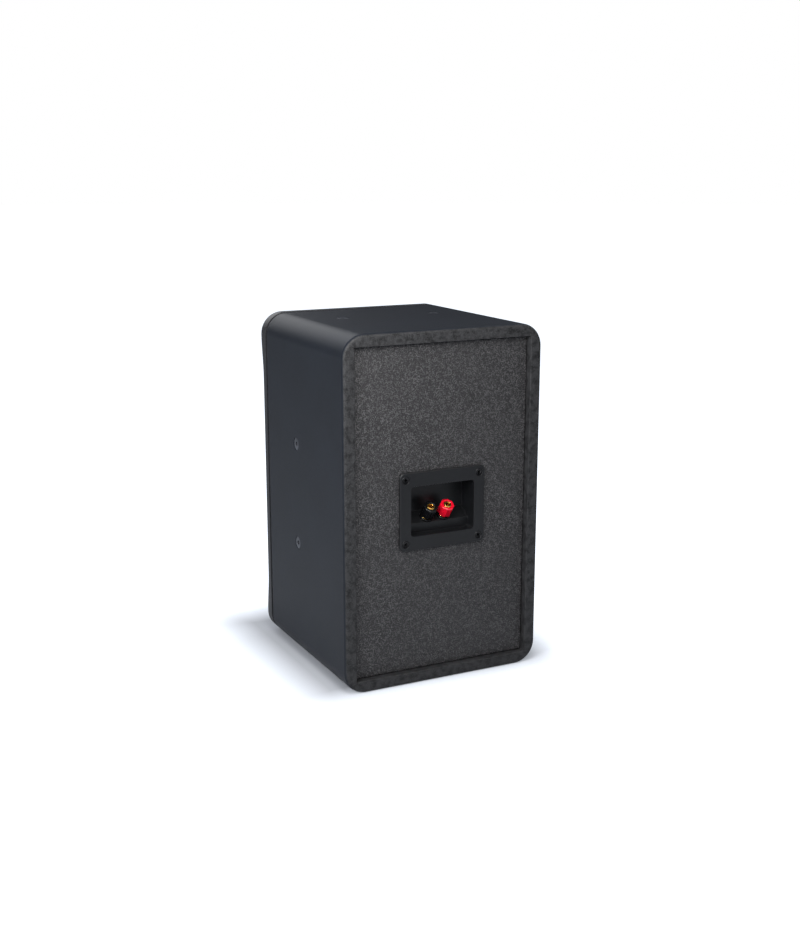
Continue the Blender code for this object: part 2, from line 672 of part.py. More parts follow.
def make_grille_sheet(materials):
    """The perforated sheet as a plain one: rows of four points, up the grille."""
    inset = RIM_WIDTH + GAP
    radius = CORNER_RADIUS - inset
    half = CABINET_WIDTH / 2 - inset
    rows = []
    for step in range(SHEET_CORNER_STEPS + 1):
        angle = math.pi / 2 * step / SHEET_CORNER_STEPS
        rows.append((inset + radius * (1 - math.cos(angle)), half - radius * (1 - math.sin(angle))))
    corner_top = inset + radius + GAP
    middle = []
    for height in side_heights(inset):
        if corner_top < height < CABINET_HEIGHT - corner_top:
            middle.append((height, half))
    rows = rows + middle + [(CABINET_HEIGHT - height, width) for height, width in reversed(rows)]
    bm = bmesh.new()
    loops = []
    for height, width in rows:
        front = GRILLE_BACK_Y - rim_depth(height) + SHEET_SETBACK
        back = front + SHEET_THICKNESS
        corners = ((width, front), (width, back), (-width, back), (-width, front))
        loops.append([bm.verts.new((x, y, height)) for x, y in corners])
    bm.faces.new(loops[0])
    bm.faces.new(list(reversed(loops[-1])))
    for loop, following in zip(loops, loops[1:]):
        for i in range(4):
            j = (i + 1) % 4
            bm.faces.new((loop[i], following[i], following[j], loop[j]))
    add_object("grille_mesh", bm, materials["black_steel"])


# ---------------------------------------------------------------- terminal cup and its posts
def cup_screw_places():
    half_x = CUP_SCREW_SPACING_X / 2
    half_z = CUP_SCREW_SPACING_Z / 2
    return [(x, CUP_CENTRE_HEIGHT + z) for z in (half_z, -half_z) for x in (half_x, -half_x)]


def pocket_profile(grow, mouth):
    """The pocket's side view (y, z): the cavity itself, or grown outwards by a wall."""
    ledge_y = CUP_FRONT_Y - LEDGE_DEPTH - grow
    back_y = CUP_FRONT_Y - POCKET_DEPTH - grow
    bottom = OPENING_BOTTOM - grow
    top = OPENING_TOP + grow
    lean = grow / math.sin(POST_TILT) - grow * RAMP_SLOPE
    ramp_low = RAMP_BOTTOM - lean
    ramp_high = ramp_low + (ledge_y - back_y) * RAMP_SLOPE
    return [
        (mouth, bottom),
        (ledge_y, bottom),
        (ledge_y, ramp_low),
        (back_y, ramp_high),
        (back_y, top),
        (mouth, top),
    ]


def post_foot(side):
    """Where a post's axis meets the ramp; side is +1 or -1."""
    return (side * POST_SPACING / 2, CUP_FRONT_Y - POST_BASE_DEPTH, POST_FOOT_HEIGHT)


def post_rotation():
    """Turns the local +Y, along which the post's pieces are turned, to its outward axis."""
    return (POST_TILT, 0, 0)


def make_cup(materials):
    plate_back = PANEL_Y + GAP
    bm = bmesh.new()
    outline = rounded_rectangle(CUP_WIDTH, CUP_HEIGHT, CUP_CORNER_RADIUS, 4, (0, CUP_CENTRE_HEIGHT))
    prism(bm, outline, along_y, plate_back, CUP_FRONT_Y)
    cup = add_object("terminal_cup", bm, materials["plastic"])
    bevel = cup.modifiers.new("plate_edge", "BEVEL")
    bevel.width = CUP_BEVEL
    bevel.segments = 1
    bevel.limit_method = "ANGLE"
    bevel.angle_limit = math.radians(50)
    bm = bmesh.new()
    rebate = rounded_rectangle(
        OPENING_WIDTH + 2 * (CUP_WALL + GASKET_WIDTH + 2 * GAP),
        OPENING_HEIGHT + 2 * (CUP_WALL + GASKET_WIDTH + 2 * GAP),
        GASKET_CORNER_RADIUS,
        2,
        (0, CUP_CENTRE_HEIGHT),
    )
    prism(bm, rebate, along_y, plate_back - CUTTER_REACH, PANEL_Y + GASKET_THICKNESS + 2 * GAP)
    combine(cup, add_helper("gasket_rebate", bm))
    bm = bmesh.new()
    half = OPENING_WIDTH / 2 + CUP_WALL
    prism(bm, pocket_profile(CUP_WALL, CUP_FRONT_Y - CUP_BEVEL), along_x, -half, half)
    combine(cup, add_helper("pocket_shell", bm), "UNION")
    bm = bmesh.new()
    half = OPENING_WIDTH / 2
    prism(bm, pocket_profile(0.0, CUP_FRONT_Y + CUTTER_REACH), along_x, -half, half)
    combine(cup, add_helper("pocket_cavity", bm))
    head = CUP_SCREW_HEAD_RADIUS + GAP
    profile = countersink(head, CUP_SCREW_RADIUS + GAP, GAP, CUP_PROUD + CUTTER_REACH / 2)
    for index, (x, z) in enumerate(cup_screw_places()):
        bm = bmesh.new()
        lathe(bm, profile, SCREW_FACETS, closed=False)
        combine(cup, add_helper(f"cup_screw_seat_{index}", bm, (x, CUP_FRONT_Y, z), (0, 0, math.pi)))
    for side in (1, -1):
        bm = bmesh.new()
        lathe(bm, rod(BUSHING_NECK_RADIUS + GAP, -2 * CUP_WALL, 2 * CUP_WALL), POST_FACETS, closed=False)
        combine(cup, add_helper(f"post_hole_{side}", bm, post_foot(side), post_rotation()))


def make_cup_gasket(materials):
    bm = bmesh.new()
    low, high = PANEL_Y + GAP, PANEL_Y + GAP + GASKET_THICKNESS
    wall = CUP_WALL + 2 * GAP
    outer = rounded_rectangle(
        OPENING_WIDTH + 2 * (CUP_WALL + GASKET_WIDTH),
        OPENING_HEIGHT + 2 * (CUP_WALL + GASKET_WIDTH),
        GASKET_CORNER_RADIUS,
        2,
        (0, CUP_CENTRE_HEIGHT),
    )
    prism(bm, outer, along_y, low, high)
    gasket = add_object("cup_gasket", bm, materials["foam"])
    bm = bmesh.new()
    size = (OPENING_WIDTH + 2 * wall, 2 * CUTTER_REACH, OPENING_HEIGHT + 2 * wall)
    box(bm, (0, PANEL_Y, CUP_CENTRE_HEIGHT), size)
    combine(gasket, add_helper("gasket_cutter", bm))
    bm = bmesh.new()
    low, high = PANEL_Y - CUTTER_REACH, PANEL_Y + CUTTER_REACH
    add_holes(bm, cup_screw_places(), CUP_SCREW_RADIUS + GAP, low, high)
    combine(gasket, add_helper("gasket_notches", bm))


def make_cup_screws(materials):
    cone = CUP_SCREW_HEAD_RADIUS - CUP_SCREW_RADIUS
    profile = [
        (0, GAP),
        (CUP_SCREW_HEAD_RADIUS, GAP),
        (CUP_SCREW_HEAD_RADIUS, 2 * GAP),
        (CUP_SCREW_RADIUS, 2 * GAP + cone),
        (CUP_SCREW_RADIUS, CUP_SCREW_LENGTH),
        (0, CUP_SCREW_LENGTH),
    ]
    steel = materials["black_steel"]
    turned = (0, 0, math.pi)
    source = None
    for index, (x, z) in enumerate(cup_screw_places(), 1):
        name = f"cup_screw_{index}"
        place = (x, CUP_FRONT_Y, z)
        if source is None:
            source = add_lathe(name, profile, SCREW_FACETS, steel, place, False, rotation=turned)
        else:
            add_copy(name, source, place, turned)


def make_post(colour, side, cap_material, materials):
    """One five-way binding post; along is measured outwards from the ramp."""
    foot = post_foot(side)
    axis = add_empty(f"post_axis_{colour}", foot, post_rotation())
    bore = STUD_RADIUS + GAP
    neck = BUSHING_NECK_RADIUS
    flange_top = GAP + BUSHING_THICKNESS
    wall_back = -CUP_WALL - GAP
    collar_low = flange_top + GAP
    collar_high = collar_low + COLLAR_THICKNESS
    cap_low = collar_high + GAP
    cap_high = cap_low + CAP_LENGTH
    centre = (0, 0, 0)

    bushing = [
        (bore, wall_back),
        (neck, wall_back),
        (neck, GAP),
        (BUSHING_RADIUS, GAP),
        (BUSHING_RADIUS, flange_top),
        (bore, flange_top),
    ]
    add_lathe(f"post_bushing_{colour}", bushing, POST_FACETS, materials["plastic"], centre, parent=axis)
    stud = [
        (0, -STUD_TAIL),
        (STUD_RADIUS, -STUD_TAIL),
        (STUD_RADIUS, cap_high - GAP),
        (SOCKET_RADIUS, cap_high - GAP),
        (SOCKET_RADIUS, cap_high - SOCKET_DEPTH),
        (0, cap_high - SOCKET_DEPTH),
    ]
    add_lathe(f"post_stud_{colour}", stud, POST_FACETS, materials["gold"], centre, False, parent=axis)
    collar = ring(bore, COLLAR_RADIUS, collar_low, collar_high)
    add_lathe(f"post_collar_{colour}", collar, POST_FACETS, materials["gold"], centre, parent=axis)
    insert = ring(bore, INSERT_RADIUS, cap_low, cap_high)
    add_lathe(f"post_insert_{colour}", insert, POST_FACETS, materials["gold"], centre, parent=axis)

    cap = [
        (0, cap_low),
        (CAP_RADIUS - CAP_TAPER, cap_low),
        (CAP_RADIUS, cap_low + CAP_TAPER),
        (CAP_RADIUS, cap_high - CAP_EDGE),
        (CAP_RADIUS - CAP_EDGE, cap_high),
        (0, cap_high),
    ]
    cap_object = add_lathe(f"post_cap_{colour}", cap, CAP_FLATS, cap_material, centre, False, parent=axis)
    bm = bmesh.new()
    cap_bore = rod(INSERT_RADIUS + GAP, cap_low - CUTTER_REACH, cap_high + CUTTER_REACH)
    lathe(bm, cap_bore, POST_FACETS, closed=False)
    combine(cap_object, add_helper(f"cap_bore_{colour}", bm, parent=axis))

    nut_high = wall_back - GAP
    bm = bmesh.new()
    lathe(bm, rod(NUT_FLATS / math.sqrt(3), nut_high - NUT_THICKNESS, nut_high), 6, closed=False)
    nut = add_object(f"post_nut_{colour}", bm, materials["steel"], parent=axis)
    bm = bmesh.new()
    lathe(bm, rod(bore, nut_high - CUTTER_REACH, nut_high + CUTTER_REACH), POST_FACETS, closed=False)
    combine(nut, add_helper(f"nut_bore_{colour}", bm, parent=axis))


# ---------------------------------------------------------------- woofer
def woofer_screw_places():
    return on_circle(WOOFER_SCREW_CIRCLE, WOOFER_SCREWS, 45)


def window_cutters():
    """Wedges that open the basket between its spokes."""
    bm = bmesh.new()
    inner = BASKET_LEDGE_INNER - BASKET_THICKNESS
    outer = WOOFER_RADIUS + CUTTER_REACH
    spread = WINDOW_HALF_ANGLE
    for i in range(BASKET_WINDOWS):
        middle = math.tau * i / BASKET_WINDOWS
        wedge = []
        for radius, angle in ((inner, -spread), (outer, -spread), (outer, spread), (inner, spread)):
            wedge.append((radius * math.cos(middle + angle), radius * math.sin(middle + angle)))
        prism(bm, wedge, along_y, WINDOW_FRONT, WINDOW_BACK)
    return bm


def make_basket(materials, place):
    wall = BASKET_THICKNESS
    seat = SURROUND_SEAT + SURROUND_THICKNESS + GAP
    flange_back = WOOFER_SEAT + WOOFER_FLANGE
    lip = SURROUND_EDGE + GAP
    ledge_outer = SPIDER_RADIUS + 2 * GAP
    profile = [
        (lip, WOOFER_SEAT),
        (WOOFER_RADIUS, WOOFER_SEAT),
        (WOOFER_RADIUS, flange_back),
        (lip + WOOFER_FLANGE_STEP, flange_back),
        (ledge_outer + wall, BASKET_LEDGE),
        (BASKET_LEDGE_INNER + wall, BASKET_LEDGE + wall),
        (BASKET_LEDGE_INNER + wall, BASKET_BACK),
        (BASKET_BORE, BASKET_BACK),
        (BASKET_BORE, BASKET_BACK - wall),
        (BASKET_LEDGE_INNER, BASKET_BACK - wall),
        (BASKET_LEDGE_INNER, BASKET_LEDGE),
        (ledge_outer, BASKET_LEDGE),
        (ROLL_OUTER - wall, flange_back + wall),
        (ROLL_OUTER - wall, seat),
        (lip, seat),
    ]
    basket = add_lathe("woofer_basket", profile, WOOFER_FACETS, materials["basket"], place)
    combine(basket, add_helper("basket_windows", window_cutters(), place))
    bm = bmesh.new()
    add_holes(bm, woofer_screw_places(), WOOFER_SCREW_RADIUS + GAP, -CUTTER_REACH, CUTTER_REACH)
    combine(basket, add_helper("basket_screw_holes", bm, place))


def make_woofer_gasket(materials, place):
    low = WOOFER_SEAT + WOOFER_FLANGE + GAP
    inner = WOOFER_CUTOUT_RADIUS + WOOFER_GASKET_MARGIN
    outer = WOOFER_RADIUS - WOOFER_GASKET_MARGIN
    profile = ring(inner, outer, low, low + WOOFER_GASKET_THICKNESS)
    gasket = add_lathe("woofer_gasket", profile, WOOFER_FACETS, materials["foam"], place)
    bm = bmesh.new()
    add_holes(bm, woofer_screw_places(), WOOFER_SCREW_RADIUS + GAP, -CUTTER_REACH, CUTTER_REACH)
    combine(gasket, add_helper("gasket_screw_holes", bm, place))


def make_surround(materials, place):
    """A half roll between two flat glued edges."""
    middle = (ROLL_INNER + ROLL_OUTER) / 2
    radius = (ROLL_OUTER - ROLL_INNER) / 2
    thick = SURROUND_THICKNESS
    inner_edge = CONE_RADIUS - SURROUND_INNER_OVERLAP
    front = [(inner_edge, SURROUND_SEAT)]
    back = [(inner_edge, SURROUND_SEAT + thick)]
    for step in range(SURROUND_ROLL_STEPS + 1):
        angle = math.pi * step / SURROUND_ROLL_STEPS
        front.append((middle - radius * math.cos(angle), SURROUND_SEAT - radius * math.sin(angle)))
        inner = radius - thick
        back.append((middle - inner * math.cos(angle), SURROUND_SEAT + thick - inner * math.sin(angle)))
    front.append((SURROUND_EDGE, SURROUND_SEAT))
    back.append((SURROUND_EDGE, SURROUND_SEAT + thick))
    add_lathe("woofer_surround", front + back[::-1], WOOFER_FACETS, materials["rubber"], place)


def cone_depth(radius):
    """Depth of the cone's front face: a shallow curve from its edge to its neck."""
    t = (CONE_RADIUS - radius) / (CONE_RADIUS - FORMER_RADIUS)
    return CONE_FRONT + (CONE_NECK - CONE_FRONT) * (0.8 * t + 0.2 * t * t)


def make_moving_woofer_parts(materials, place):
    neck = FORMER_RADIUS + GAP
    radii = [CONE_RADIUS - (CONE_RADIUS - neck) * i / CONE_STEPS for i in range(CONE_STEPS + 1)]
    front = [(radius, cone_depth(radius)) for radius in radii]
    back = [(radius, depth + CONE_THICKNESS) for radius, depth in front]
    add_lathe("woofer_cone", front + back[::-1], WOOFER_FACETS, materials["cone"], place)

    edge = cone_depth(DUST_CAP_RADIUS) - GAP - CONE_THICKNESS
    outer = []
    inner = []
    for step in range(CONE_STEPS + 1):
        t = step / CONE_STEPS
        rise = DUST_CAP_RISE * (1 - t * t)
        outer.append((DUST_CAP_RADIUS * t, edge - rise))
        inner.append((DUST_CAP_RADIUS * t, edge - rise + CONE_THICKNESS))
    profile = outer + inner[::-1]
    add_lathe("woofer_dust_cap", profile, TWEETER_FACETS, materials["cone"], place, closed=False)

    former = ring(FORMER_RADIUS - FORMER_THICKNESS, FORMER_RADIUS, FORMER_FRONT, FORMER_BACK)
    add_lathe("woofer_coil_former", former, TWEETER_FACETS, materials["former"], place)
    start = FORMER_RADIUS + GAP
    winding = ring(start, start + WINDING_THICKNESS, WINDING_FRONT, WINDING_BACK)
    add_lathe("woofer_voice_coil", winding, TWEETER_FACETS, materials["copper"], place)


def make_spider(materials, place):
    """A corrugated disc from the coil former out to the basket's ledge."""
    inner = FORMER_RADIUS + GAP
    flat = BASKET_LEDGE_INNER - GAP
    front = []
    steps = 2 * SPIDER_WAVES
    for step in range(steps + 1):
        t = step / steps
        wave = SPIDER_WAVE_HEIGHT * (step % 2)
        front.append((inner + (flat - inner) * t, SPIDER_DEPTH + wave))
    front.append((SPIDER_RADIUS, SPIDER_DEPTH))
    back = [(radius, depth + SPIDER_THICKNESS) for radius, depth in front]
    add_lathe("woofer_spider", front + back[::-1], TWEETER_FACETS, materials["spider"], place)


def make_woofer_motor(materials, place):
    plate = ring(TOP_PLATE_BORE, TOP_PLATE_RADIUS, TOP_PLATE_FRONT, TOP_PLATE_BACK)
    add_lathe("woofer_top_plate", plate, TWEETER_FACETS, materials["steel"], place)
    magnet = ring(MAGNET_BORE, MAGNET_RADIUS, MAGNET_FRONT, MAGNET_BACK)
    add_lathe("woofer_magnet", magnet, TWEETER_FACETS, materials["ferrite"], place)
    back = YOKE_FRONT + YOKE_THICKNESS
    yoke = [
        (POLE_VENT, TOP_PLATE_FRONT),
        (POLE_RADIUS, TOP_PLATE_FRONT),
        (POLE_RADIUS, YOKE_FRONT),
        (TOP_PLATE_RADIUS, YOKE_FRONT),
        (TOP_PLATE_RADIUS, back - YOKE_EDGE),
        (TOP_PLATE_RADIUS - YOKE_EDGE, back),
        (POLE_VENT, back),
    ]
    add_lathe("woofer_yoke", yoke, TWEETER_FACETS, materials["steel"], place)


def make_driver_screws(prefix, places, height, profile, materials):
    source = None
    for index, (x, z) in enumerate(places, 1):
        name = f"{prefix}_screw_{index}"
        place = (x, FRONT_Y, height + z)
        if source is None:
            source = add_lathe(name, profile, SCREW_FACETS, materials["black_steel"], place, False)
        else:
            add_copy(name, source, place)


def woofer_screw_profile():
    under = WOOFER_SEAT - GAP
    top = under - WOOFER_SCREW_HEAD_HEIGHT
    socket = WOOFER_SCREW_SOCKET_RADIUS
    bottom = top + WOOFER_SCREW_SOCKET_DEPTH
    return [
        (0, bottom),
        (socket, bottom),
        (socket, top),
        (WOOFER_SCREW_HEAD, top),
        (WOOFER_SCREW_HEAD, under),
        (WOOFER_SCREW_RADIUS, under),
        (WOOFER_SCREW_RADIUS, under + WOOFER_SCREW_LENGTH),
        (0, under + WOOFER_SCREW_LENGTH),
    ]


def make_woofer(materials):
    place = (0, FRONT_Y, WOOFER_HEIGHT)
    make_basket(materials, place)
    make_woofer_gasket(materials, place)
    make_surround(materials, place)
    make_moving_woofer_parts(materials, place)
    make_spider(materials, place)
    make_woofer_motor(materials, place)
    profile = woofer_screw_profile()
    make_driver_screws("woofer", woofer_screw_places(), WOOFER_HEIGHT, profile, materials)


# ---------------------------------------------------------------- tweeter
def tweeter_screw_places():
    return on_circle(TWEETER_SCREW_CIRCLE, TWEETER_SCREWS, 90)


def tweeter_screw_profile():
    top = TWEETER_SEAT + GAP
    cone = TWEETER_SCREW_HEAD - TWEETER_SCREW_RADIUS
    return [
        (0, top),
        (TWEETER_SCREW_HEAD, top),
        (TWEETER_SCREW_RADIUS, top + cone),
        (TWEETER_SCREW_RADIUS, top + TWEETER_SCREW_LENGTH),
        (0, top + TWEETER_SCREW_LENGTH),
    ]


def make_faceplate(materials, place):
    back = TWEETER_SEAT + TWEETER_FLANGE
    horn = []
    for step in range(HORN_STEPS + 1):
        t = step / HORN_STEPS
        horn.append((HORN_RADIUS - HORN_WIDTH * t, TWEETER_SEAT + (TWEETER_FLANGE - HORN_LIP) * t * t))
    profile = [(TWEETER_RADIUS, back), (TWEETER_RADIUS, TWEETER_SEAT), *horn, (THROAT_RADIUS, back)]
    faceplate = add_lathe("tweeter_faceplate", profile, TWEETER_FACETS, materials["plastic"], place)
    hole = TWEETER_SCREW_RADIUS + GAP
    profile = countersink(TWEETER_SCREW_HEAD + GAP, hole, TWEETER_SEAT + GAP, CUTTER_REACH)
    for index, (x, z) in enumerate(tweeter_screw_places()):
        bm = bmesh.new()
        lathe(bm, profile, SCREW_FACETS, closed=False)
        seat = (place[0] + x, place[1], place[2] + z)
        turned = (0, math.pi / (2 * SCREW_FACETS), 0)
        combine(faceplate, add_helper(f"tweeter_screw_seat_{index}", bm, seat, turned))


def make_diaphragm(materials, place):
    """A soft dome with its small roll, glued under the faceplate."""
    base = TWEETER_SEAT + TWEETER_FLANGE + GAP
    outer = []
    for step in range(DOME_STEPS + 1):
        t = step / DOME_STEPS
        outer.append((DOME_RADIUS * t, base - DOME_RISE * (1 - t * t)))
    radius = DOME_ROLL_WIDTH / 2
    middle = DOME_RADIUS + radius
    for step in range(1, DOME_ROLL_STEPS + 1):
        angle = math.pi * step / DOME_ROLL_STEPS
        outer.append((middle - radius * math.cos(angle), base - radius * math.sin(angle)))
    outer.append((DIAPHRAGM_EDGE, base + DIAPHRAGM_EDGE_STEP))
    inner = [(along_radius, depth + DOME_THICKNESS) for along_radius, depth in outer]
    profile = outer + inner[::-1]
    add_lathe("tweeter_diaphragm", profile, TWEETER_FACETS, materials["silk"], place, closed=False)


def make_tweeter(materials):
    place = (0, FRONT_Y, TWEETER_HEIGHT)
    make_faceplate(materials, place)
    make_diaphragm(materials, place)
    make_tweeter_motor(materials, place)
    profile = tweeter_screw_profile()
    make_driver_screws("tweeter", tweeter_screw_places(), TWEETER_HEIGHT, profile, materials)


def make_tweeter_motor(materials, place):
    """Voice coil, top plate, magnet and yoke behind the dome."""
    coil_front = TWEETER_PLATE_FRONT - TWEETER_COIL_AHEAD
    coil = ring(TWEETER_COIL_INNER, TWEETER_COIL_OUTER, coil_front, coil_front + TWEETER_COIL_LENGTH)
    add_lathe("tweeter_voice_coil", coil, TWEETER_FACETS, materials["copper"], place)
    bore = TWEETER_COIL_OUTER + COIL_CLEARANCE
    plate = ring(bore, TWEETER_PLATE_RADIUS, TWEETER_PLATE_FRONT, TWEETER_PLATE_BACK)
    add_lathe("tweeter_top_plate", plate, TWEETER_FACETS, materials["steel"], place)
    inner, outer = TWEETER_MAGNET_BORE, TWEETER_MAGNET_RADIUS
    magnet = ring(inner, outer, TWEETER_MAGNET_FRONT, TWEETER_MAGNET_BACK)
    add_lathe("tweeter_magnet", magnet, TWEETER_FACETS, materials["ferrite"], place)
    back = TWEETER_YOKE_FRONT + TWEETER_YOKE_THICKNESS
    yoke = [
        (0, TWEETER_PLATE_FRONT),
        (TWEETER_POLE_RADIUS, TWEETER_PLATE_FRONT),
        (TWEETER_POLE_RADIUS, TWEETER_YOKE_FRONT),
        (TWEETER_YOKE_RADIUS, TWEETER_YOKE_FRONT),
        (TWEETER_YOKE_RADIUS, back),
        (0, back),
    ]
    add_lathe("tweeter_yoke", yoke, TWEETER_FACETS, materials["steel"], place, closed=False)


# ---------------------------------------------------------------- inside the cabinet
def make_crossover(materials):
    bm = bmesh.new()
    box(bm, (0, BOARD_CENTRE_Y, BOARD_BOTTOM + BOARD_SIZE[2] / 2), BOARD_SIZE)
    add_object("crossover_board", bm, materials["board"])
    upright = (math.pi / 2, 0, 0)
    coil = ring(INDUCTOR_BORE, INDUCTOR_RADIUS, GAP, GAP + INDUCTOR_HEIGHT)
    place = (INDUCTOR_X, BOARD_CENTRE_Y, BOARD_TOP)
    add_lathe("crossover_inductor", coil, TWEETER_FACETS, materials["copper"], place, rotation=upright)
    half = CAPACITOR_LENGTH / 2
    body = [
        (0, -half),
        (CAPACITOR_RADIUS - CAPACITOR_EDGE, -half),
        (CAPACITOR_RADIUS, -half + CAPACITOR_EDGE),
        (CAPACITOR_RADIUS, half - CAPACITOR_EDGE),
        (CAPACITOR_RADIUS - CAPACITOR_EDGE, half),
        (0, half),
    ]
    place = (CAPACITOR_X, BOARD_CENTRE_Y, BOARD_TOP + GAP + CAPACITOR_RADIUS)
    add_lathe("crossover_capacitor", body, POST_FACETS, materials["film"], place, closed=False)


def make_wadding(materials):
    bm = bmesh.new()
    top = CABINET_HEIGHT - WALL - WADDING_TOP_GAP
    box(bm, (0, WADDING_CENTRE_Y, top - WADDING_SIZE[2] / 2), WADDING_SIZE)
    wadding = add_object("acoustic_wadding", bm, materials["wadding"])
    bevel = wadding.modifiers.new("soft_edges", "BEVEL")
    bevel.width = WADDING_ROUNDING
    bevel.segments = 2


def cable_routes():
    """Each cable's own points, chosen by hand."""
    level = BOARD_TOP + CABLE_RADIUS + GAP
    return {
        "input_cable": [
            (0.000, 0.063, 0.144),
            (0.000, 0.058, 0.128),
            (0.001, 0.060, 0.100),
            (0.003, 0.064, 0.065),
            (0.004, 0.062, 0.036),
            (0.003, 0.052, level + 0.002),
            (0.002, 0.040, level),
        ],
        "woofer_cable": [
            (0.004, 0.012, level),
            (0.006, 0.000, level + 0.001),
            (0.008, -0.016, 0.024),
            (0.006, -0.034, 0.038),
            (0.002, -0.045, 0.053),
            (0.000, -0.048, 0.061),
        ],
        "tweeter_cable": [
            (0.045, 0.010, level),
            (0.058, 0.004, level + 0.004),
            (0.074, -0.004, 0.040),
            (0.082, -0.012, 0.085),
            (0.083, -0.020, 0.135),
            (0.079, -0.034, 0.185),
            (0.066, -0.045, 0.222),
            (0.050, -0.053, 0.243),
            (0.039, -0.061, 0.251),
        ],
    }


def make_cables(materials):
    for name, points in cable_routes().items():
        route = smooth_route([Vector(point) for point in points], 2)
        curve = bpy.data.curves.new(name, "CURVE")
        curve.dimensions = "3D"
        spline = curve.splines.new("POLY")
        spline.points.add(len(route) - 1)
        for point, place in zip(spline.points, route):
            point.co = (*place, 1.0)
        curve.bevel_depth = CABLE_RADIUS
        curve.bevel_resolution = 2
        curve.use_fill_caps = True
        curve.materials.append(materials["cable"])
        obj = bpy.data.objects.new(name, curve)
        bpy.context.scene.collection.objects.link(obj)


# ---------------------------------------------------------------- the whole loudspeaker
def main():
    clear_scene()
    materials = make_materials()
    make_cabinet(materials)
    make_plug_screws(materials)
    make_rear_panel(materials)
    make_baffle(materials)
    make_grille_frame(materials)
    make_grille_sheet(materials)
    make_cup(materials)
    make_cup_gasket(materials)
    make_cup_screws(materials)
    make_post("black", 1, materials["plastic"], materials)
    make_post("red", -1, materials["red"], materials)
    make_woofer(materials)
    make_tweeter(materials)
    make_crossover(materials)
    make_wadding(materials)
    make_cables(materials)


main()
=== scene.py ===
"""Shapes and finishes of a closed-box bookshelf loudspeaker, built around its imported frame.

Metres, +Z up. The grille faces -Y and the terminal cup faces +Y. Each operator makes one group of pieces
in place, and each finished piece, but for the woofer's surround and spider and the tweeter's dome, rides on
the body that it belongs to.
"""

import json
import math

import bmesh
import bpy
from bpy.props import FloatProperty, FloatVectorProperty, IntProperty, PointerProperty
from mathutils import Matrix, Vector, noise


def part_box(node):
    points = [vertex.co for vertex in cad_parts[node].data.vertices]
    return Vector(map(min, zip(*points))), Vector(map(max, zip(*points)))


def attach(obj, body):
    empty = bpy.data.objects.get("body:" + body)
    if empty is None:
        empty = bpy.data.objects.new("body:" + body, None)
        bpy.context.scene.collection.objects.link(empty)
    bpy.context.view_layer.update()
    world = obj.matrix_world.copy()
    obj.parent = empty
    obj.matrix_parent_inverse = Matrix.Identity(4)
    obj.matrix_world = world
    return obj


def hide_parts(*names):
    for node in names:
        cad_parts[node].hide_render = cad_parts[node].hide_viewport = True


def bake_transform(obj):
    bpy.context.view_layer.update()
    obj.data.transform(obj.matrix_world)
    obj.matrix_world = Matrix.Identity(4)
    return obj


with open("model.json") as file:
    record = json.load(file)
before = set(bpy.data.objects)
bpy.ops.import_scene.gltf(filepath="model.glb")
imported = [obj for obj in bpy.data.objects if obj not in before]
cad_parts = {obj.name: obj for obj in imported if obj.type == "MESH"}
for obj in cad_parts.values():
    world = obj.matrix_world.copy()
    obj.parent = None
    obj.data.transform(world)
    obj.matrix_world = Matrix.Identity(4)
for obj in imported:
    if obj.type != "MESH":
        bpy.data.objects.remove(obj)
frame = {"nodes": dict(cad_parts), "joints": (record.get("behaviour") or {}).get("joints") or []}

bl_info = {
    "name": "Bookshelf loudspeaker",
    "version": (1, 0, 0),
    "blender": (4, 5, 0),
    "location": "3D view > Sidebar > Loudspeaker",
    "description": "Builds and finishes a two-way bookshelf loudspeaker around its frame",
    "category": "Object",
}


# ---------------------------------------------------------------- places read from the frame
def middle_of(node):
    """Middle of a node's box."""
    low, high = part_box(node)
    return (low + high) / 2


SHELL_LOW, SHELL_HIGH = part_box("cabinet_shell")
PANEL_LOW, PANEL_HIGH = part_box("rear_panel")
BAFFLE_LOW, BAFFLE_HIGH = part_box("front_baffle")
CUP_LOW, CUP_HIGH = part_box("terminal_cup")
RIM_LOW, RIM_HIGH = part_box("grille_frame")
SHEET_LOW, SHEET_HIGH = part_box("grille_mesh")
SHELL_MIDDLE = middle_of("cabinet_shell")
CUP_MIDDLE = middle_of("terminal_cup")
FRONT_Y = BAFFLE_LOW.y
REAR_Y = SHELL_HIGH.y
FULL_TURN = math.tau
QUARTER_TURN = math.pi / 2
MILLIMETRE = 0.001
# points of the perforated sheet nearer than this are one
SEWING = 0.05 * MILLIMETRE
# radius of the hole in the cup for a binding post
POST_HOLE = 0.0042
# how far a plug screw's rim lies below the wrap, and the room round it
PLUG_SINK = 0.25 * MILLIMETRE
# where most of a noise texture's values lie
GRAIN_SPAN = (0.3, 0.7)


def linear(colour):
    """An sRGB hex value as linear red, green and blue."""
    channels = [int(colour[i : i + 2], 16) / 255 for i in (1, 3, 5)]
    return tuple(c / 12.92 if c <= 0.04045 else ((c + 0.055) / 1.055) ** 2.4 for c in channels)


def length(name, description, default):
    return FloatProperty(name=name, description=description, default=default, unit="LENGTH", precision=5)


def colour(name, description, default):
    return FloatVectorProperty(
        name=name, description=description, default=linear(default), subtype="COLOR", min=0.0, max=1.0
    )


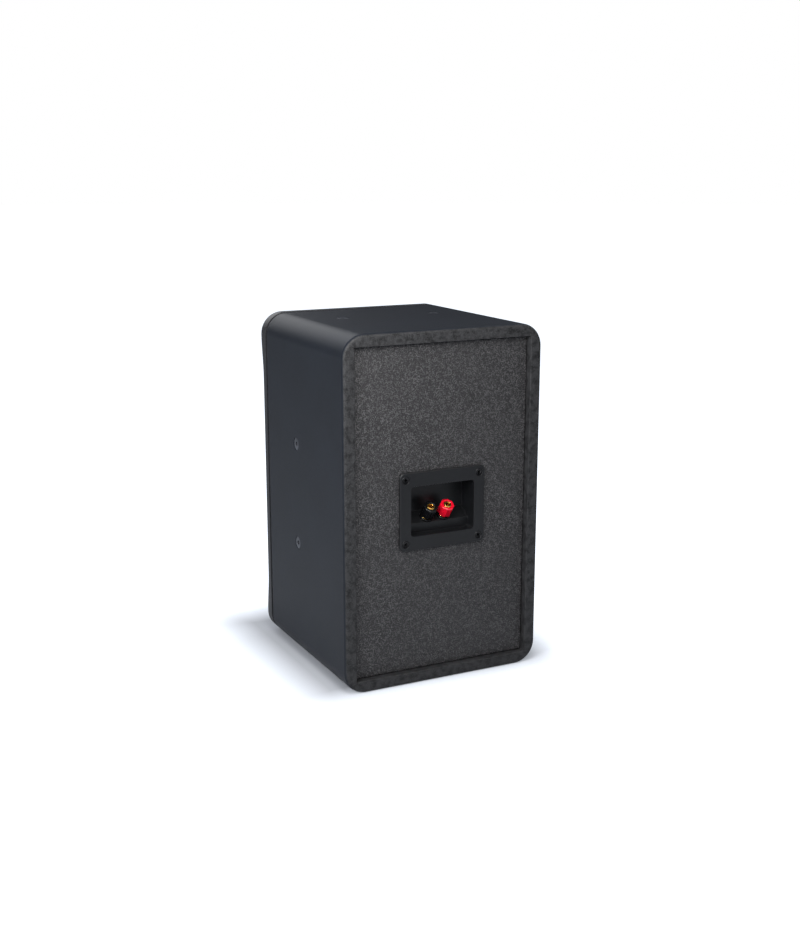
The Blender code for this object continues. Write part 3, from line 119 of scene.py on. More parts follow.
# ---------------------------------------------------------------- settings
class CabinetSettings(bpy.types.PropertyGroup):
    corner_radius: length("Corner radius", "Of the outline seen from the front", 0.022)
    edge_rounding: length("Edge rounding", "Of the front and rear outer edges", 0.0034)
    inner_rounding: length("Inner rounding", "Of the edge round the rear panel", 0.0007)
    wall: length("Wall", "Thickness of the boards", PANEL_LOW.x - SHELL_LOW.x - 0.0003)
    panel_gap: length("Panel gap", "Open line round the rear panel", 0.0007)
    panel_rounding: length("Panel rounding", "Of the rear panel's edge", 0.0009)
    plug_head: length("Plug head radius", "Of the screws in the bracket inserts", 0.0061)
    plug_socket: length("Plug socket radius", "Corner radius of their hexagon socket", 0.0023)
    seam_length: length("Seam length", "Of the mitred cut at each corner of the rear rim", 0.0075)
    vinyl_colour: colour("Vinyl colour", "Smooth wrap of the sides and top", "#11151c")
    rim_colour: colour("Rim colour", "Wrap where it is stretched round the rear rim", "#282829")
    panel_colour: colour("Panel colour", "Pebble-grained wrap of the rear panel", "#2c2b2c")


class GrilleSettings(bpy.types.PropertyGroup):
    border: length("Border", "Visible width round the perforated sheet", 0.008)
    frame_width: length("Frame width", "Whole width, ledge included", 0.022)
    rounding: length("Rounding", "Of the frame's outer front edge", 0.0025)
    end_depth: length("End depth", "Depth at the top and bottom", 0.0133)
    middle_depth: length("Middle depth", "Depth halfway up", 0.0094)
    rise_near: length("Curve start", "From an end, where the depth starts to fall", 0.022)
    rise_far: length("Curve end", "From an end, where it has reached the middle depth", 0.065)
    shadow_gap: length("Shadow gap", "Open line between the cabinet and the frame", 0.0012)
    pitch: length("Pitch", "Between the centres of two holes", 0.0045)
    hole_radius: length("Hole radius", "Of each perforation", 0.00155)
    sheet_thickness: length("Sheet thickness", "Of the perforated steel", 0.0008)
    frame_colour: colour("Frame colour", "Moulded frame", "#19191c")
    sheet_colour: colour("Sheet colour", "Powder coat of the sheet", "#131314")


class CupSettings(bpy.types.PropertyGroup):
    corner_radius: length("Corner radius", "Of the plate", 0.0046)
    chamfer: length("Chamfer", "Of the plate's edge", 0.0009)
    plate_thickness: length("Plate thickness", "Above the rear panel", 0.0027)
    opening_width: length("Opening width", "Of the pocket", 0.067)
    opening_height: length("Opening height", "Of the pocket", 0.048)
    opening_radius: length("Opening radius", "Of the pocket's corners", 0.0028)
    wall: length("Wall", "Of the pocket", 0.0025)
    pocket_depth: length("Pocket depth", "From the plate to the back wall", 0.024)
    ledge_depth: length("Ledge depth", "From the plate to the ledge", 0.012)
    ledge_height: length("Ledge height", "Above the pocket's floor", 0.0087)
    screw_head: length("Screw head radius", "Of the four countersunk screws", 0.0036)
    plastic_colour: colour("Plastic colour", "Moulded cup", "#0b0c0e")


class PostSettings(bpy.types.PropertyGroup):
    flats: IntProperty(name="Flats", description="Flat sides of a cap", default=8, min=5, max=16)
    corner_rounding: length("Corner rounding", "Between two flats", 0.0014)
    edge_rounding: length("Edge rounding", "Of the cap's outer end", 0.0009)
    insert_bore: length("Insert bore", "Inner radius of the brass insert", 0.00276)
    socket_radius: length("Socket radius", "For a 4 mm plug", 0.0021)
    socket_depth: length("Socket depth", "Of the plug's socket", 0.012)
    red: colour("Red", "Cap of the positive post", "#c00a22")
    black: colour("Black", "Cap of the negative post", "#08080a")


class WooferSettings(bpy.types.PropertyGroup):
    radius: length("Radius", "Of the flange", 0.0823)
    surround_inset: length("Surround inset", "From the flange's edge to the surround", 0.011)
    glue_width: length("Glue width", "Flat outer edge of the surround", 0.0025)
    roll_width: length("Roll width", "Of the surround's half roll", 0.011)
    cone_front: length("Cone edge depth", "Behind the baffle's face", 0.005)
    cone_neck: length("Cone neck depth", "Behind the baffle's face", 0.024)
    former_radius: length("Former radius", "Of the coil former", 0.0168)
    dust_cap_radius: length("Dust cap radius", "Over the coil", 0.023)
    dust_cap_rise: length("Dust cap rise", "At its centre", 0.007)


class TweeterSettings(bpy.types.PropertyGroup):
    radius: length("Radius", "Of the faceplate", 0.0498)
    throat_radius: length("Throat radius", "Of the opening round the dome", 0.0166)
    horn_radius: length("Horn radius", "Where the shallow flare starts", 0.028)
    dome_radius: length("Dome radius", "Of the soft dome", 0.0126)
    dome_rise: length("Dome rise", "At its centre", 0.0046)


class StageSettings(bpy.types.PropertyGroup):
    floor_radius: length("Floor radius", "Of the plain floor", 14.0)
    floor_colour: colour("Floor colour", "Plain pale floor", "#a3a5aa")
    # the low glow by the object is a painted shadow round its foot
    near_glow: FloatProperty(name="Near glow", description="Floor's light by the object", default=0.04)
    far_glow: FloatProperty(name="Far glow", description="Floor's light far from the object", default=1.15)
    shadow_reach: length("Shadow reach", "From the footprint to the full glow of the floor", 0.07)
    lens: FloatProperty(name="Lens", description="Focal length in millimetres", default=49.57)


# ---------------------------------------------------------------- shape helpers
def rounded_rectangle(width, height, radius, steps, centre):
    """Points (x, z), anticlockwise seen from the front, from the right side's lower end."""
    points = []
    for side_x, side_z, start in ((1, -1, -90), (1, 1, 0), (-1, 1, 90), (-1, -1, 180)):
        corner_x = centre[0] + side_x * (width / 2 - radius)
        corner_z = centre[1] + side_z * (height / 2 - radius)
        for step in range(steps + 1):
            angle = math.radians(start + 90 * step / steps)
            points.append((corner_x + radius * math.cos(angle), corner_z + radius * math.sin(angle)))
    return points


def arc(centre, radius, start, end, steps):
    """Points (u, v) on an arc; angles in degrees."""
    points = []
    for step in range(steps + 1):
        angle = math.radians(start + (end - start) * step / steps)
        points.append((centre[0] + radius * math.cos(angle), centre[1] + radius * math.sin(angle)))
    return points


def loft(bm, loops, closed=False, capped=False):
    """Joins loops that have the same number of points; closed joins the last to the first."""
    rows = [[bm.verts.new(point) for point in loop] for loop in loops]
    pairs = list(zip(rows, rows[1:]))
    if closed:
        pairs.append((rows[-1], rows[0]))
    for row, following in pairs:
        for i, vert in enumerate(row):
            j = (i + 1) % len(row)
            bm.faces.new((vert, row[j], following[j], following[i]))
    if capped:
        bm.faces.new(rows[0])
        bm.faces.new(rows[-1])


def prism(bm, outline, low, high):
    """An outline of (x, z) points, extruded along Y."""
    loft(bm, [[(x, y, z) for x, z in outline] for y in (low, high)], capped=True)


def block(bm, low, high):
    """A box between two corners."""
    corners = ((low[0], low[2]), (high[0], low[2]), (high[0], high[2]), (low[0], high[2]))
    prism(bm, corners, low[1], high[1])


def lathe(bm, profile, steps, closed=True):
    """Turns (radius, along) points round the Y axis; an open profile starts and ends on the axis."""
    loops = []
    for step in range(steps):
        angle = FULL_TURN * step / steps
        loops.append([(r * math.cos(angle), along, r * math.sin(angle)) for r, along in profile])
    rows = [[bm.verts.new(point) for point in loop] for loop in loops]
    count = len(profile)
    for row, following in zip(rows, rows[1:] + rows[:1]):
        for i in range(count if closed else count - 1):
            j = (i + 1) % count
            bm.faces.new((row[i], row[j], following[j], following[i]))


def ring(inner, outer, low, high, edge):
    """Closed profile of a tube whose four edges are chamfered."""
    return [
        (inner + edge, low),
        (outer - edge, low),
        (outer, low + edge),
        (outer, high - edge),
        (outer - edge, high),
        (inner + edge, high),
        (inner, high - edge),
        (inner, low + edge),
    ]


def clean(bm, merge=1e-6):
    """Merges doubles, drops what collapsed and points the faces outwards."""
    bmesh.ops.remove_doubles(bm, verts=bm.verts, dist=merge)
    bmesh.ops.dissolve_degenerate(bm, edges=bm.edges, dist=merge / 10)
    bmesh.ops.recalc_face_normals(bm, faces=bm.faces)


def as_object(name, bm, matrix=None):
    """A new object that holds the mesh, its place in the mesh itself."""
    clean(bm)
    if matrix is not None:
        bmesh.ops.transform(bm, matrix=matrix, verts=bm.verts)
    mesh = bpy.data.meshes.new(name)
    bm.to_mesh(mesh)
    bm.free()
    obj = bpy.data.objects.new(name, mesh)
    bpy.context.scene.collection.objects.link(obj)
    return obj


def settle(obj):
    """Replaces the object's mesh by its evaluated one and drops its modifiers."""
    bpy.context.view_layer.update()
    graph = bpy.context.evaluated_depsgraph_get()
    mesh = bpy.data.meshes.new_from_object(obj.evaluated_get(graph), depsgraph=graph)
    old = obj.data
    obj.modifiers.clear()
    obj.data = mesh
    mesh.name = obj.name
    bpy.data.meshes.remove(old)


def cut(obj, bm, operation="DIFFERENCE"):
    """Cuts the mesh from the object, or joins it on, and settles the result."""
    cutter = as_object(f"{obj.name}_cutter", bm)
    modifier = obj.modifiers.new("cut", "BOOLEAN")
    modifier.operation = operation
    modifier.solver = "EXACT"
    modifier.object = cutter
    settle(obj)
    bpy.data.objects.remove(cutter, do_unlink=True)


def soften(obj, width, segments=2, angle=40):
    """Rounds the object's sharp edges and settles the result."""
    modifier = obj.modifiers.new("soften", "BEVEL")
    modifier.width = width
    modifier.segments = segments
    modifier.limit_method = "ANGLE"
    modifier.angle_limit = math.radians(angle)
    modifier.use_clamp_overlap = True
    settle(obj)


def shade(obj, angle=32, weighted=True):
    """Smooth shading with sharp edges above the angle, and flats kept flat."""
    obj.data.shade_smooth()
    obj.data.set_sharp_from_angle(angle=math.radians(angle))
    if weighted:
        modifier = obj.modifiers.new("flats", "WEIGHTED_NORMAL")
        modifier.keep_sharp = True
        settle(obj)


def place(obj, body, slot, material, *nodes):
    """Gives the piece its finish, its body and the nodes that it stands for."""
    if material is not None:
        obj.data.materials.clear()
        obj.data.materials.append(material)
    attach(obj, body)
    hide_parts(*nodes)
    return obj


def turned(name, profile, steps, matrix, closed=True, angle=32):
    """A turned piece, shaded smooth; the matrix takes the Y axis to its own axis."""
    bm = bmesh.new()
    lathe(bm, profile, steps, closed)
    obj = as_object(name, bm, matrix)
    shade(obj, angle)
    return obj


def repeated(name, bm, points, turns, material):
    """Copies of one small mesh on points, each with its own turn, as one plain mesh."""
    obj = as_object(name, bm)
    shade(obj, weighted=False)
    mesh = bpy.data.meshes.new(f"{name}_places")
    mesh.from_pydata(points, [], [])
    mesh.attributes.new("turn", "FLOAT_VECTOR", "POINT").data.foreach_set(
        "vector", [angle for turn in turns for angle in turn]
    )
    places = bpy.data.objects.new(f"{name}_places", mesh)
    bpy.context.scene.collection.objects.link(places)
    modifier = obj.modifiers.new("copies", "NODES")
    fill_inputs(modifier, copies_tree(), {"Places": places, "Material": material})
    settle(obj)
    bpy.data.objects.remove(places, do_unlink=True)
    return obj


# ---------------------------------------------------------------- node helpers
MATH = "ShaderNodeMath"
VECTOR_MATH = "ShaderNodeVectorMath"
RANGE = "ShaderNodeMapRange"


def add(tree, kind, inputs=(), **settings):
    """Adds a node with its settings; an input, by key or in order, is a value, a socket or a node."""
    made = tree.nodes.new(kind)
    for key, value in settings.items():
        setattr(made, key, value)
    for key, source in inputs.items() if isinstance(inputs, dict) else enumerate(inputs):
        socket = made.inputs[key]
        if isinstance(source, bpy.types.Node):
            source = source.outputs[0]
        if isinstance(source, bpy.types.NodeSocket):
            tree.links.new(source, socket)
        elif socket.type == "RGBA" and len(source) == 3:
            socket.default_value = (*source, 1.0)
        else:
            socket.default_value = source
    return made


def new_tree(name, inputs):
    """A Geometry Nodes tree with named inputs; returns it, its input node and its output node."""
    tree = bpy.data.node_groups.new(name, "GeometryNodeTree")
    tree.interface.new_socket("Geometry", in_out="INPUT", socket_type="NodeSocketGeometry")
    for label, kind in inputs:
        tree.interface.new_socket(label, in_out="INPUT", socket_type=kind)
    tree.interface.new_socket("Geometry", in_out="OUTPUT", socket_type="NodeSocketGeometry")
    return tree, add(tree, "NodeGroupInput"), add(tree, "NodeGroupOutput")


def fill_inputs(modifier, tree, values):
    """Sets a Geometry Nodes modifier's named inputs by their sockets' identifiers."""
    modifier.node_group = tree
    for item in tree.interface.items_tree:
        if item.in_out == "INPUT" and item.name in values:
            modifier[item.identifier] = values[item.name]


def copies_tree():
    """Copies the geometry onto the points of another object, turned by their turn attribute."""
    name = "Copies on places"
    if name in bpy.data.node_groups:
        return bpy.data.node_groups[name]
    tree, group, out = new_tree(name, (("Places", "NodeSocketObject"), ("Material", "NodeSocketMaterial")))
    places = add(tree, "GeometryNodeObjectInfo", {"Object": group.outputs["Places"]})
    points = add(tree, "GeometryNodeMeshToPoints", {"Mesh": places.outputs["Geometry"]})
    turn = add(tree, "GeometryNodeInputNamedAttribute", {"Name": "turn"}, data_type="FLOAT_VECTOR")
    euler = add(tree, "FunctionNodeEulerToRotation", {"Euler": turn.outputs["Attribute"]})
    copies = add(
        tree,
        "GeometryNodeInstanceOnPoints",
        {"Points": points, "Instance": group.outputs["Geometry"], "Rotation": euler},
    )
    real = add(tree, "GeometryNodeRealizeInstances", {"Geometry": copies})
    finish = add(tree, "GeometryNodeSetMaterial", {"Geometry": real, "Material": group.outputs["Material"]})
    tree.links.new(finish.outputs["Geometry"], out.inputs["Geometry"])
    return tree


def perforation_tree():
    """Rows of the geometry, a perforated cell, every second row moved by half a pitch, in an outline."""
    numbers = ("Pitch", "Width", "Height", "Corner Radius")
    inputs = [(label, "NodeSocketFloat") for label in numbers]
    tree, group, out = new_tree("Perforated rows", [*inputs, ("Material", "NodeSocketMaterial")])
    pitch, width, height, radius = (group.outputs[label] for label in numbers)
    row_height = add(tree, MATH, (pitch, math.sqrt(3) / 2), operation="MULTIPLY")

    # an even number of gaps each way, so that the pattern is centred
    gaps, lengths = [], []
    for size, step in ((width, pitch), (height, row_height)):
        pair = add(tree, MATH, (step, 2), operation="MULTIPLY")
        pairs = add(tree, MATH, (add(tree, MATH, (size, pair), operation="DIVIDE"),), operation="FLOOR")
        gaps.append(add(tree, MATH, (pairs, 2), operation="MULTIPLY"))
        lengths.append(add(tree, MATH, (gaps[-1], step), operation="MULTIPLY"))
    grid = add(
        tree,
        "GeometryNodeMeshGrid",
        {
            "Size X": lengths[0],
            "Size Y": lengths[1],
            "Vertices X": add(tree, MATH, (gaps[0], 1), operation="ADD"),
            "Vertices Y": add(tree, MATH, (gaps[1], 1), operation="ADD"),
        },
    )
    where = add(tree, "ShaderNodeSeparateXYZ", (add(tree, "GeometryNodeInputPosition"),))
    rows_up = add(tree, MATH, (where.outputs["Y"], row_height), operation="DIVIDE")
    row = add(tree, MATH, (rows_up,), operation="ROUND")
    odd = add(tree, MATH, (add(tree, MATH, (row, 2), operation="MODULO"),), operation="ABSOLUTE")
    half_pitch = add(tree, MATH, (pitch, 2), operation="DIVIDE")
    shift = add(tree, MATH, (odd, half_pitch), operation="MULTIPLY")
    across = add(tree, MATH, (where.outputs["X"], shift), operation="ADD")
    moved = add(tree, "ShaderNodeCombineXYZ", {"X": across, "Z": where.outputs["Y"]})
    points = add(tree, "GeometryNodeMeshToPoints", {"Mesh": grid, "Position": moved})

    # a cell stays where it lies inside the outline with its rounded corners
    now = add(tree, "ShaderNodeSeparateXYZ", (add(tree, "GeometryNodeInputPosition"),))
    squares = []
    for axis, size in (("X", width), ("Z", height)):
        half = add(tree, MATH, (size, 2), operation="DIVIDE")
        straight = add(tree, MATH, (half, radius), operation="SUBTRACT")
        away = add(tree, MATH, (now.outputs[axis],), operation="ABSOLUTE")
        past = add(tree, MATH, (away, straight), operation="SUBTRACT")
        beyond = add(tree, MATH, (past, 0), operation="MAXIMUM")
        squares.append(add(tree, MATH, (beyond, 2), operation="POWER"))
    reach = add(tree, MATH, (add(tree, MATH, squares, operation="ADD"),), operation="SQRT")
    outside = add(tree, MATH, (reach, radius), operation="GREATER_THAN")
    kept = add(
        tree, "GeometryNodeDeleteGeometry", {"Geometry": points, "Selection": outside}, domain="POINT"
    )
    copies = add(
        tree, "GeometryNodeInstanceOnPoints", {"Points": kept, "Instance": group.outputs["Geometry"]}
    )
    real = add(tree, "GeometryNodeRealizeInstances", {"Geometry": copies})
    merged = add(tree, "GeometryNodeMergeByDistance", {"Geometry": real, "Distance": SEWING})
    finish = add(tree, "GeometryNodeSetMaterial", {"Geometry": merged, "Material": group.outputs["Material"]})
    tree.links.new(finish.outputs["Geometry"], out.inputs["Geometry"])
    return tree


# ---------------------------------------------------------------- finishes
def new_finish(name, **constants):
    """A material with a Principled shader whose constants are set on its own sockets."""
    material = bpy.data.materials.new(name)
    material.use_nodes = True
    tree = material.node_tree
    shader = tree.nodes["Principled BSDF"]
    for key, value in constants.items():
        shader.inputs[key.replace("_", " ")].default_value = value
    coordinates = add(tree, "ShaderNodeTexCoord").outputs["Object"]
    return material, tree, shader, coordinates


def in_millimetres(tree, coordinates, size_mm, stretch=(1, 1, 1)):
    """Coordinates in which one unit is size_mm; stretch multiplies the size along X, Y and Z."""
    scale = [1 / (size_mm * MILLIMETRE * factor) for factor in stretch]
    return add(tree, "ShaderNodeMapping", {"Vector": coordinates, "Scale": scale})


def grains(tree, coordinates, size_mm, detail=2.0, stretch=(1, 1, 1)):
    """Cloudy grains that measure size_mm, from about 0.3 to 0.7."""
    mapped = in_millimetres(tree, coordinates, size_mm, stretch)
    return add(tree, "ShaderNodeTexNoise", {"Vector": mapped, "Scale": 1.0, "Detail": detail}).outputs["Fac"]


def dimmed(rgb, share):
    return tuple(channel * share for channel in rgb)


def relief(tree, shader, *layers):
    """Stacks bumps on the shader's normal: each layer is a height from 0 to 1 and its depth in mm."""
    inputs = {"Strength": 1.0}
    for height, depth_mm in layers:
        inputs |= {"Height": height, "Distance": depth_mm * MILLIMETRE}
        inputs["Normal"] = add(tree, "ShaderNodeBump", inputs).outputs["Normal"]
    tree.links.new(inputs["Normal"], shader.inputs["Normal"])


def plain_finish(
    name, rgb, roughness, patch_mm, grain_mm, depth_mm, spread=0.25, stretch=(1, 1, 1), **constants
):
    """A colour that drifts over patches, and a fine grain in the roughness and in relief."""
    material, tree, shader, coordinates = new_finish(name, **constants)
    patches = grains(tree, coordinates, patch_mm, 3.0)
    grain = grains(tree, coordinates, grain_mm, 2.0, stretch)
    light = tuple(min(1.0, channel * (1 + spread)) for channel in rgb)
    lit = add(tree, RANGE, (patches, *GRAIN_SPAN, 0, 1))
    tone = add(tree, "ShaderNodeMix", {0: lit, 6: dimmed(rgb, 1 - spread), 7: light}, data_type="RGBA")
    tree.links.new(tone.outputs[2], shader.inputs["Base Color"])
    rough = add(tree, RANGE, (grain, *GRAIN_SPAN, *roughness))
    tree.links.new(rough.outputs[0], shader.inputs["Roughness"])
    relief(tree, shader, (grain, depth_mm))
    return material


def rim_mask(tree, coordinates, settings):
    """1 on the rear rim and on the edge that rounds into the recess, 0 on the rest of the wrap."""
    where = add(tree, "ShaderNodeSeparateXYZ", (coordinates,))
    # the rim's face lies this near the rear edge, and the recess wall behind it lies inside the boards
    face = add(tree, RANGE, (where.outputs["Y"], REAR_Y - 0.0016, REAR_Y - 0.0006, 0, 1))
    reach = []
    for axis, middle, half in (
        ("X", 0.0, SHELL_HIGH.x),
        ("Z", SHELL_MIDDLE.z, (SHELL_HIGH.z - SHELL_LOW.z) / 2),
    ):
        offset = add(tree, MATH, (where.outputs[axis], middle), operation="SUBTRACT")
        size = add(tree, MATH, (offset,), operation="ABSOLUTE")
        reach.append(add(tree, MATH, (size, half - settings.wall), operation="SUBTRACT"))
    furthest = add(tree, MATH, reach, operation="MAXIMUM")
    inside = add(tree, RANGE, (furthest, 0.0008, 0.0016, 1, 0))
    return add(tree, MATH, (face, inside), operation="MAXIMUM")


def vinyl_wrap(settings):
    """Calendered PVC film on fibreboard: satin, with a hair-fine grain, and on the rear rim, where it is
    stretched round the edge and folded in, mottled, duller and coarser, its raised grain painted lighter as a
    painted highlight."""
    material, tree, shader, coordinates = new_finish("satin_pvc_wrap", Specular_IOR_Level=0.2)
    rim = rim_mask(tree, coordinates, settings)
    drift = grains(tree, coordinates, 60, 3.0)
    smudges = grains(tree, coordinates, 6.0, 4.0)
    coarse = grains(tree, coordinates, 1.1, 3.0)
    fine = grains(tree, coordinates, 0.35, 2.0)
    vinyl, worn = tuple(settings.vinyl_colour), tuple(settings.rim_colour)
    drifting = add(tree, RANGE, (drift, *GRAIN_SPAN, 0, 1))
    body = add(
        tree, "ShaderNodeMix", {0: drifting, 6: dimmed(vinyl, 0.86), 7: dimmed(vinyl, 1.14)}, data_type="RGBA"
    )
    smudged = add(tree, RANGE, (smudges, 0.38, 0.58, 0, 1))
    patchy = add(tree, "ShaderNodeMix", {0: smudged, 6: dimmed(worn, 0.3), 7: worn}, data_type="RGBA")
    # the rim's raised grain, the same noise as its relief below, is painted lighter: a painted highlight on
    # the grain
    painted_grain_highlight = add(tree, RANGE, (coarse, 0.45, 0.7, 0, 0.6))
    rim_with_painted_highlight = add(
        tree, "ShaderNodeMix", {0: painted_grain_highlight, 6: patchy.outputs[2], 7: dimmed(worn, 2.0)}, data_type="RGBA"
    )
    tone = add(
        tree, "ShaderNodeMix", {0: rim, 6: body.outputs[2], 7: rim_with_painted_highlight.outputs[2]}, data_type="RGBA"
    )
    tree.links.new(tone.outputs[2], shader.inputs["Base Color"])
    smooth_roughness = add(tree, RANGE, (fine, *GRAIN_SPAN, 0.44, 0.54))
    worn_roughness = add(tree, RANGE, (coarse, *GRAIN_SPAN, 0.42, 0.66))
    roughness = add(tree, "ShaderNodeMix", {0: rim, 2: smooth_roughness, 3: worn_roughness})
    tree.links.new(roughness.outputs[0], shader.inputs["Roughness"])
    rim_relief = add(tree, MATH, (coarse, rim), operation="MULTIPLY")
    relief(tree, shader, (fine, 0.012), (rim_relief, 0.16))
    return material


def pebble_vinyl(settings):
    """Embossed PVC film: pebbles under a millimetre across, drawn at 1.2 mm so that they show, with
    satin tops and dull valleys; the tops are painted lighter, a painted highlight, and the valleys darker,
    painted shade."""
    material, tree, shader, coordinates = new_finish("pebble_pvc_film", Specular_IOR_Level=0.5)
    mapped = in_millimetres(tree, coordinates, 1.2)
    pebbles = add(tree, "ShaderNodeTexVoronoi", {"Vector": mapped, "Scale": 1.0}).outputs["Distance"]
    uneven = grains(tree, coordinates, 3.1, 2.0)
    patches = grains(tree, coordinates, 45, 2.0)
    height = add(tree, RANGE, (pebbles, 0.2, 0.7, 1.0, 0.0))
    swell = add(tree, RANGE, (uneven, 0.35, 0.65, 0.35, 1.0))
    rough = add(tree, MATH, (height, swell), operation="MULTIPLY")
    film = tuple(settings.panel_colour)
    # the pebbles' tops are painted lighter, a painted highlight, and the valleys between them darker, painted
    # shade
    tops = add(tree, RANGE, (rough, 0.1, 0.8, 0, 1))
    painted_valley_shade, painted_crest_highlight = dimmed(film, 0.1), dimmed(film, 2.5)
    painted_pebble_light = add(tree, "ShaderNodeMix", {0: tops, 6: painted_valley_shade, 7: painted_crest_highlight}, data_type="RGBA")
    shadow = add(tree, RANGE, (patches, *GRAIN_SPAN, 0, 0.3))
    shadowed = add(
        tree, "ShaderNodeMix", {0: shadow, 6: painted_pebble_light.outputs[2], 7: dimmed(film, 0.7)}, data_type="RGBA"
    )
    tree.links.new(shadowed.outputs[2], shader.inputs["Base Color"])
    gloss = add(tree, RANGE, (rough, 0.1, 0.8, 0.6, 0.4))
    tree.links.new(gloss.outputs[0], shader.inputs["Roughness"])
    relief(tree, shader, (rough, 0.36))
    return material


# a Wave texture at this scale has one band to each unit of its coordinates
ONE_BAND = 1 / 3.2


def wound_wire(name, rgb, wire_mm, axis):
    """Enamelled copper laid turn beside turn along one axis, with a varnish gloss; each turn's crest is
    painted lighter, a painted highlight, and the groove between turns darker, painted shade.
    """
    material, tree, shader, coordinates = new_finish(name, Metallic=1.0, Coat_Weight=0.5, Coat_Roughness=0.15)
    mapped = in_millimetres(tree, coordinates, wire_mm)
    inputs = {"Vector": mapped, "Scale": ONE_BAND, "Distortion": 0.4}
    turns = add(tree, "ShaderNodeTexWave", inputs, bands_direction=axis).outputs["Fac"]
    # the colour follows the turns' relief: painted highlight on each crest and painted shade in each groove
    tone = add(tree, "ShaderNodeMix", {0: turns, 6: dimmed(rgb, 0.45), 7: rgb}, data_type="RGBA")
    tree.links.new(tone.outputs[2], shader.inputs["Base Color"])
    roughness = add(tree, RANGE, (turns, 0, 1, 0.42, 0.26))
    tree.links.new(roughness.outputs[0], shader.inputs["Roughness"])
    relief(tree, shader, (turns, wire_mm / 3))
    return material


def woven_cloth(name, rgb, thread_mm, gloss):
    """Plain weave: two crossing sets of threads, stiffened with resin; the gaps between the threads are
    painted darker, as painted shade.
    """
    material, tree, shader, coordinates = new_finish(name, Sheen_Weight=0.2, Sheen_Roughness=0.5)
    mapped = in_millimetres(tree, coordinates, thread_mm)
    inputs = {"Vector": mapped, "Scale": ONE_BAND, "Distortion": 0.3}
    threads = [
        add(tree, "ShaderNodeTexWave", inputs, bands_direction=axis).outputs["Fac"] for axis in ("X", "Z")
    ]
    weave = add(tree, MATH, threads, operation="MULTIPLY")
    # the gaps between the threads, where the relief is low, are painted darker: painted shade
    tone = add(tree, "ShaderNodeMix", {0: weave, 6: dimmed(rgb, 0.5), 7: rgb}, data_type="RGBA")
    tree.links.new(tone.outputs[2], shader.inputs["Base Color"])
    roughness = add(tree, RANGE, (weave, 0, 1, gloss + 0.12, gloss))
    tree.links.new(roughness.outputs[0], shader.inputs["Roughness"])
    relief(tree, shader, (weave, thread_mm / 4))
    return material


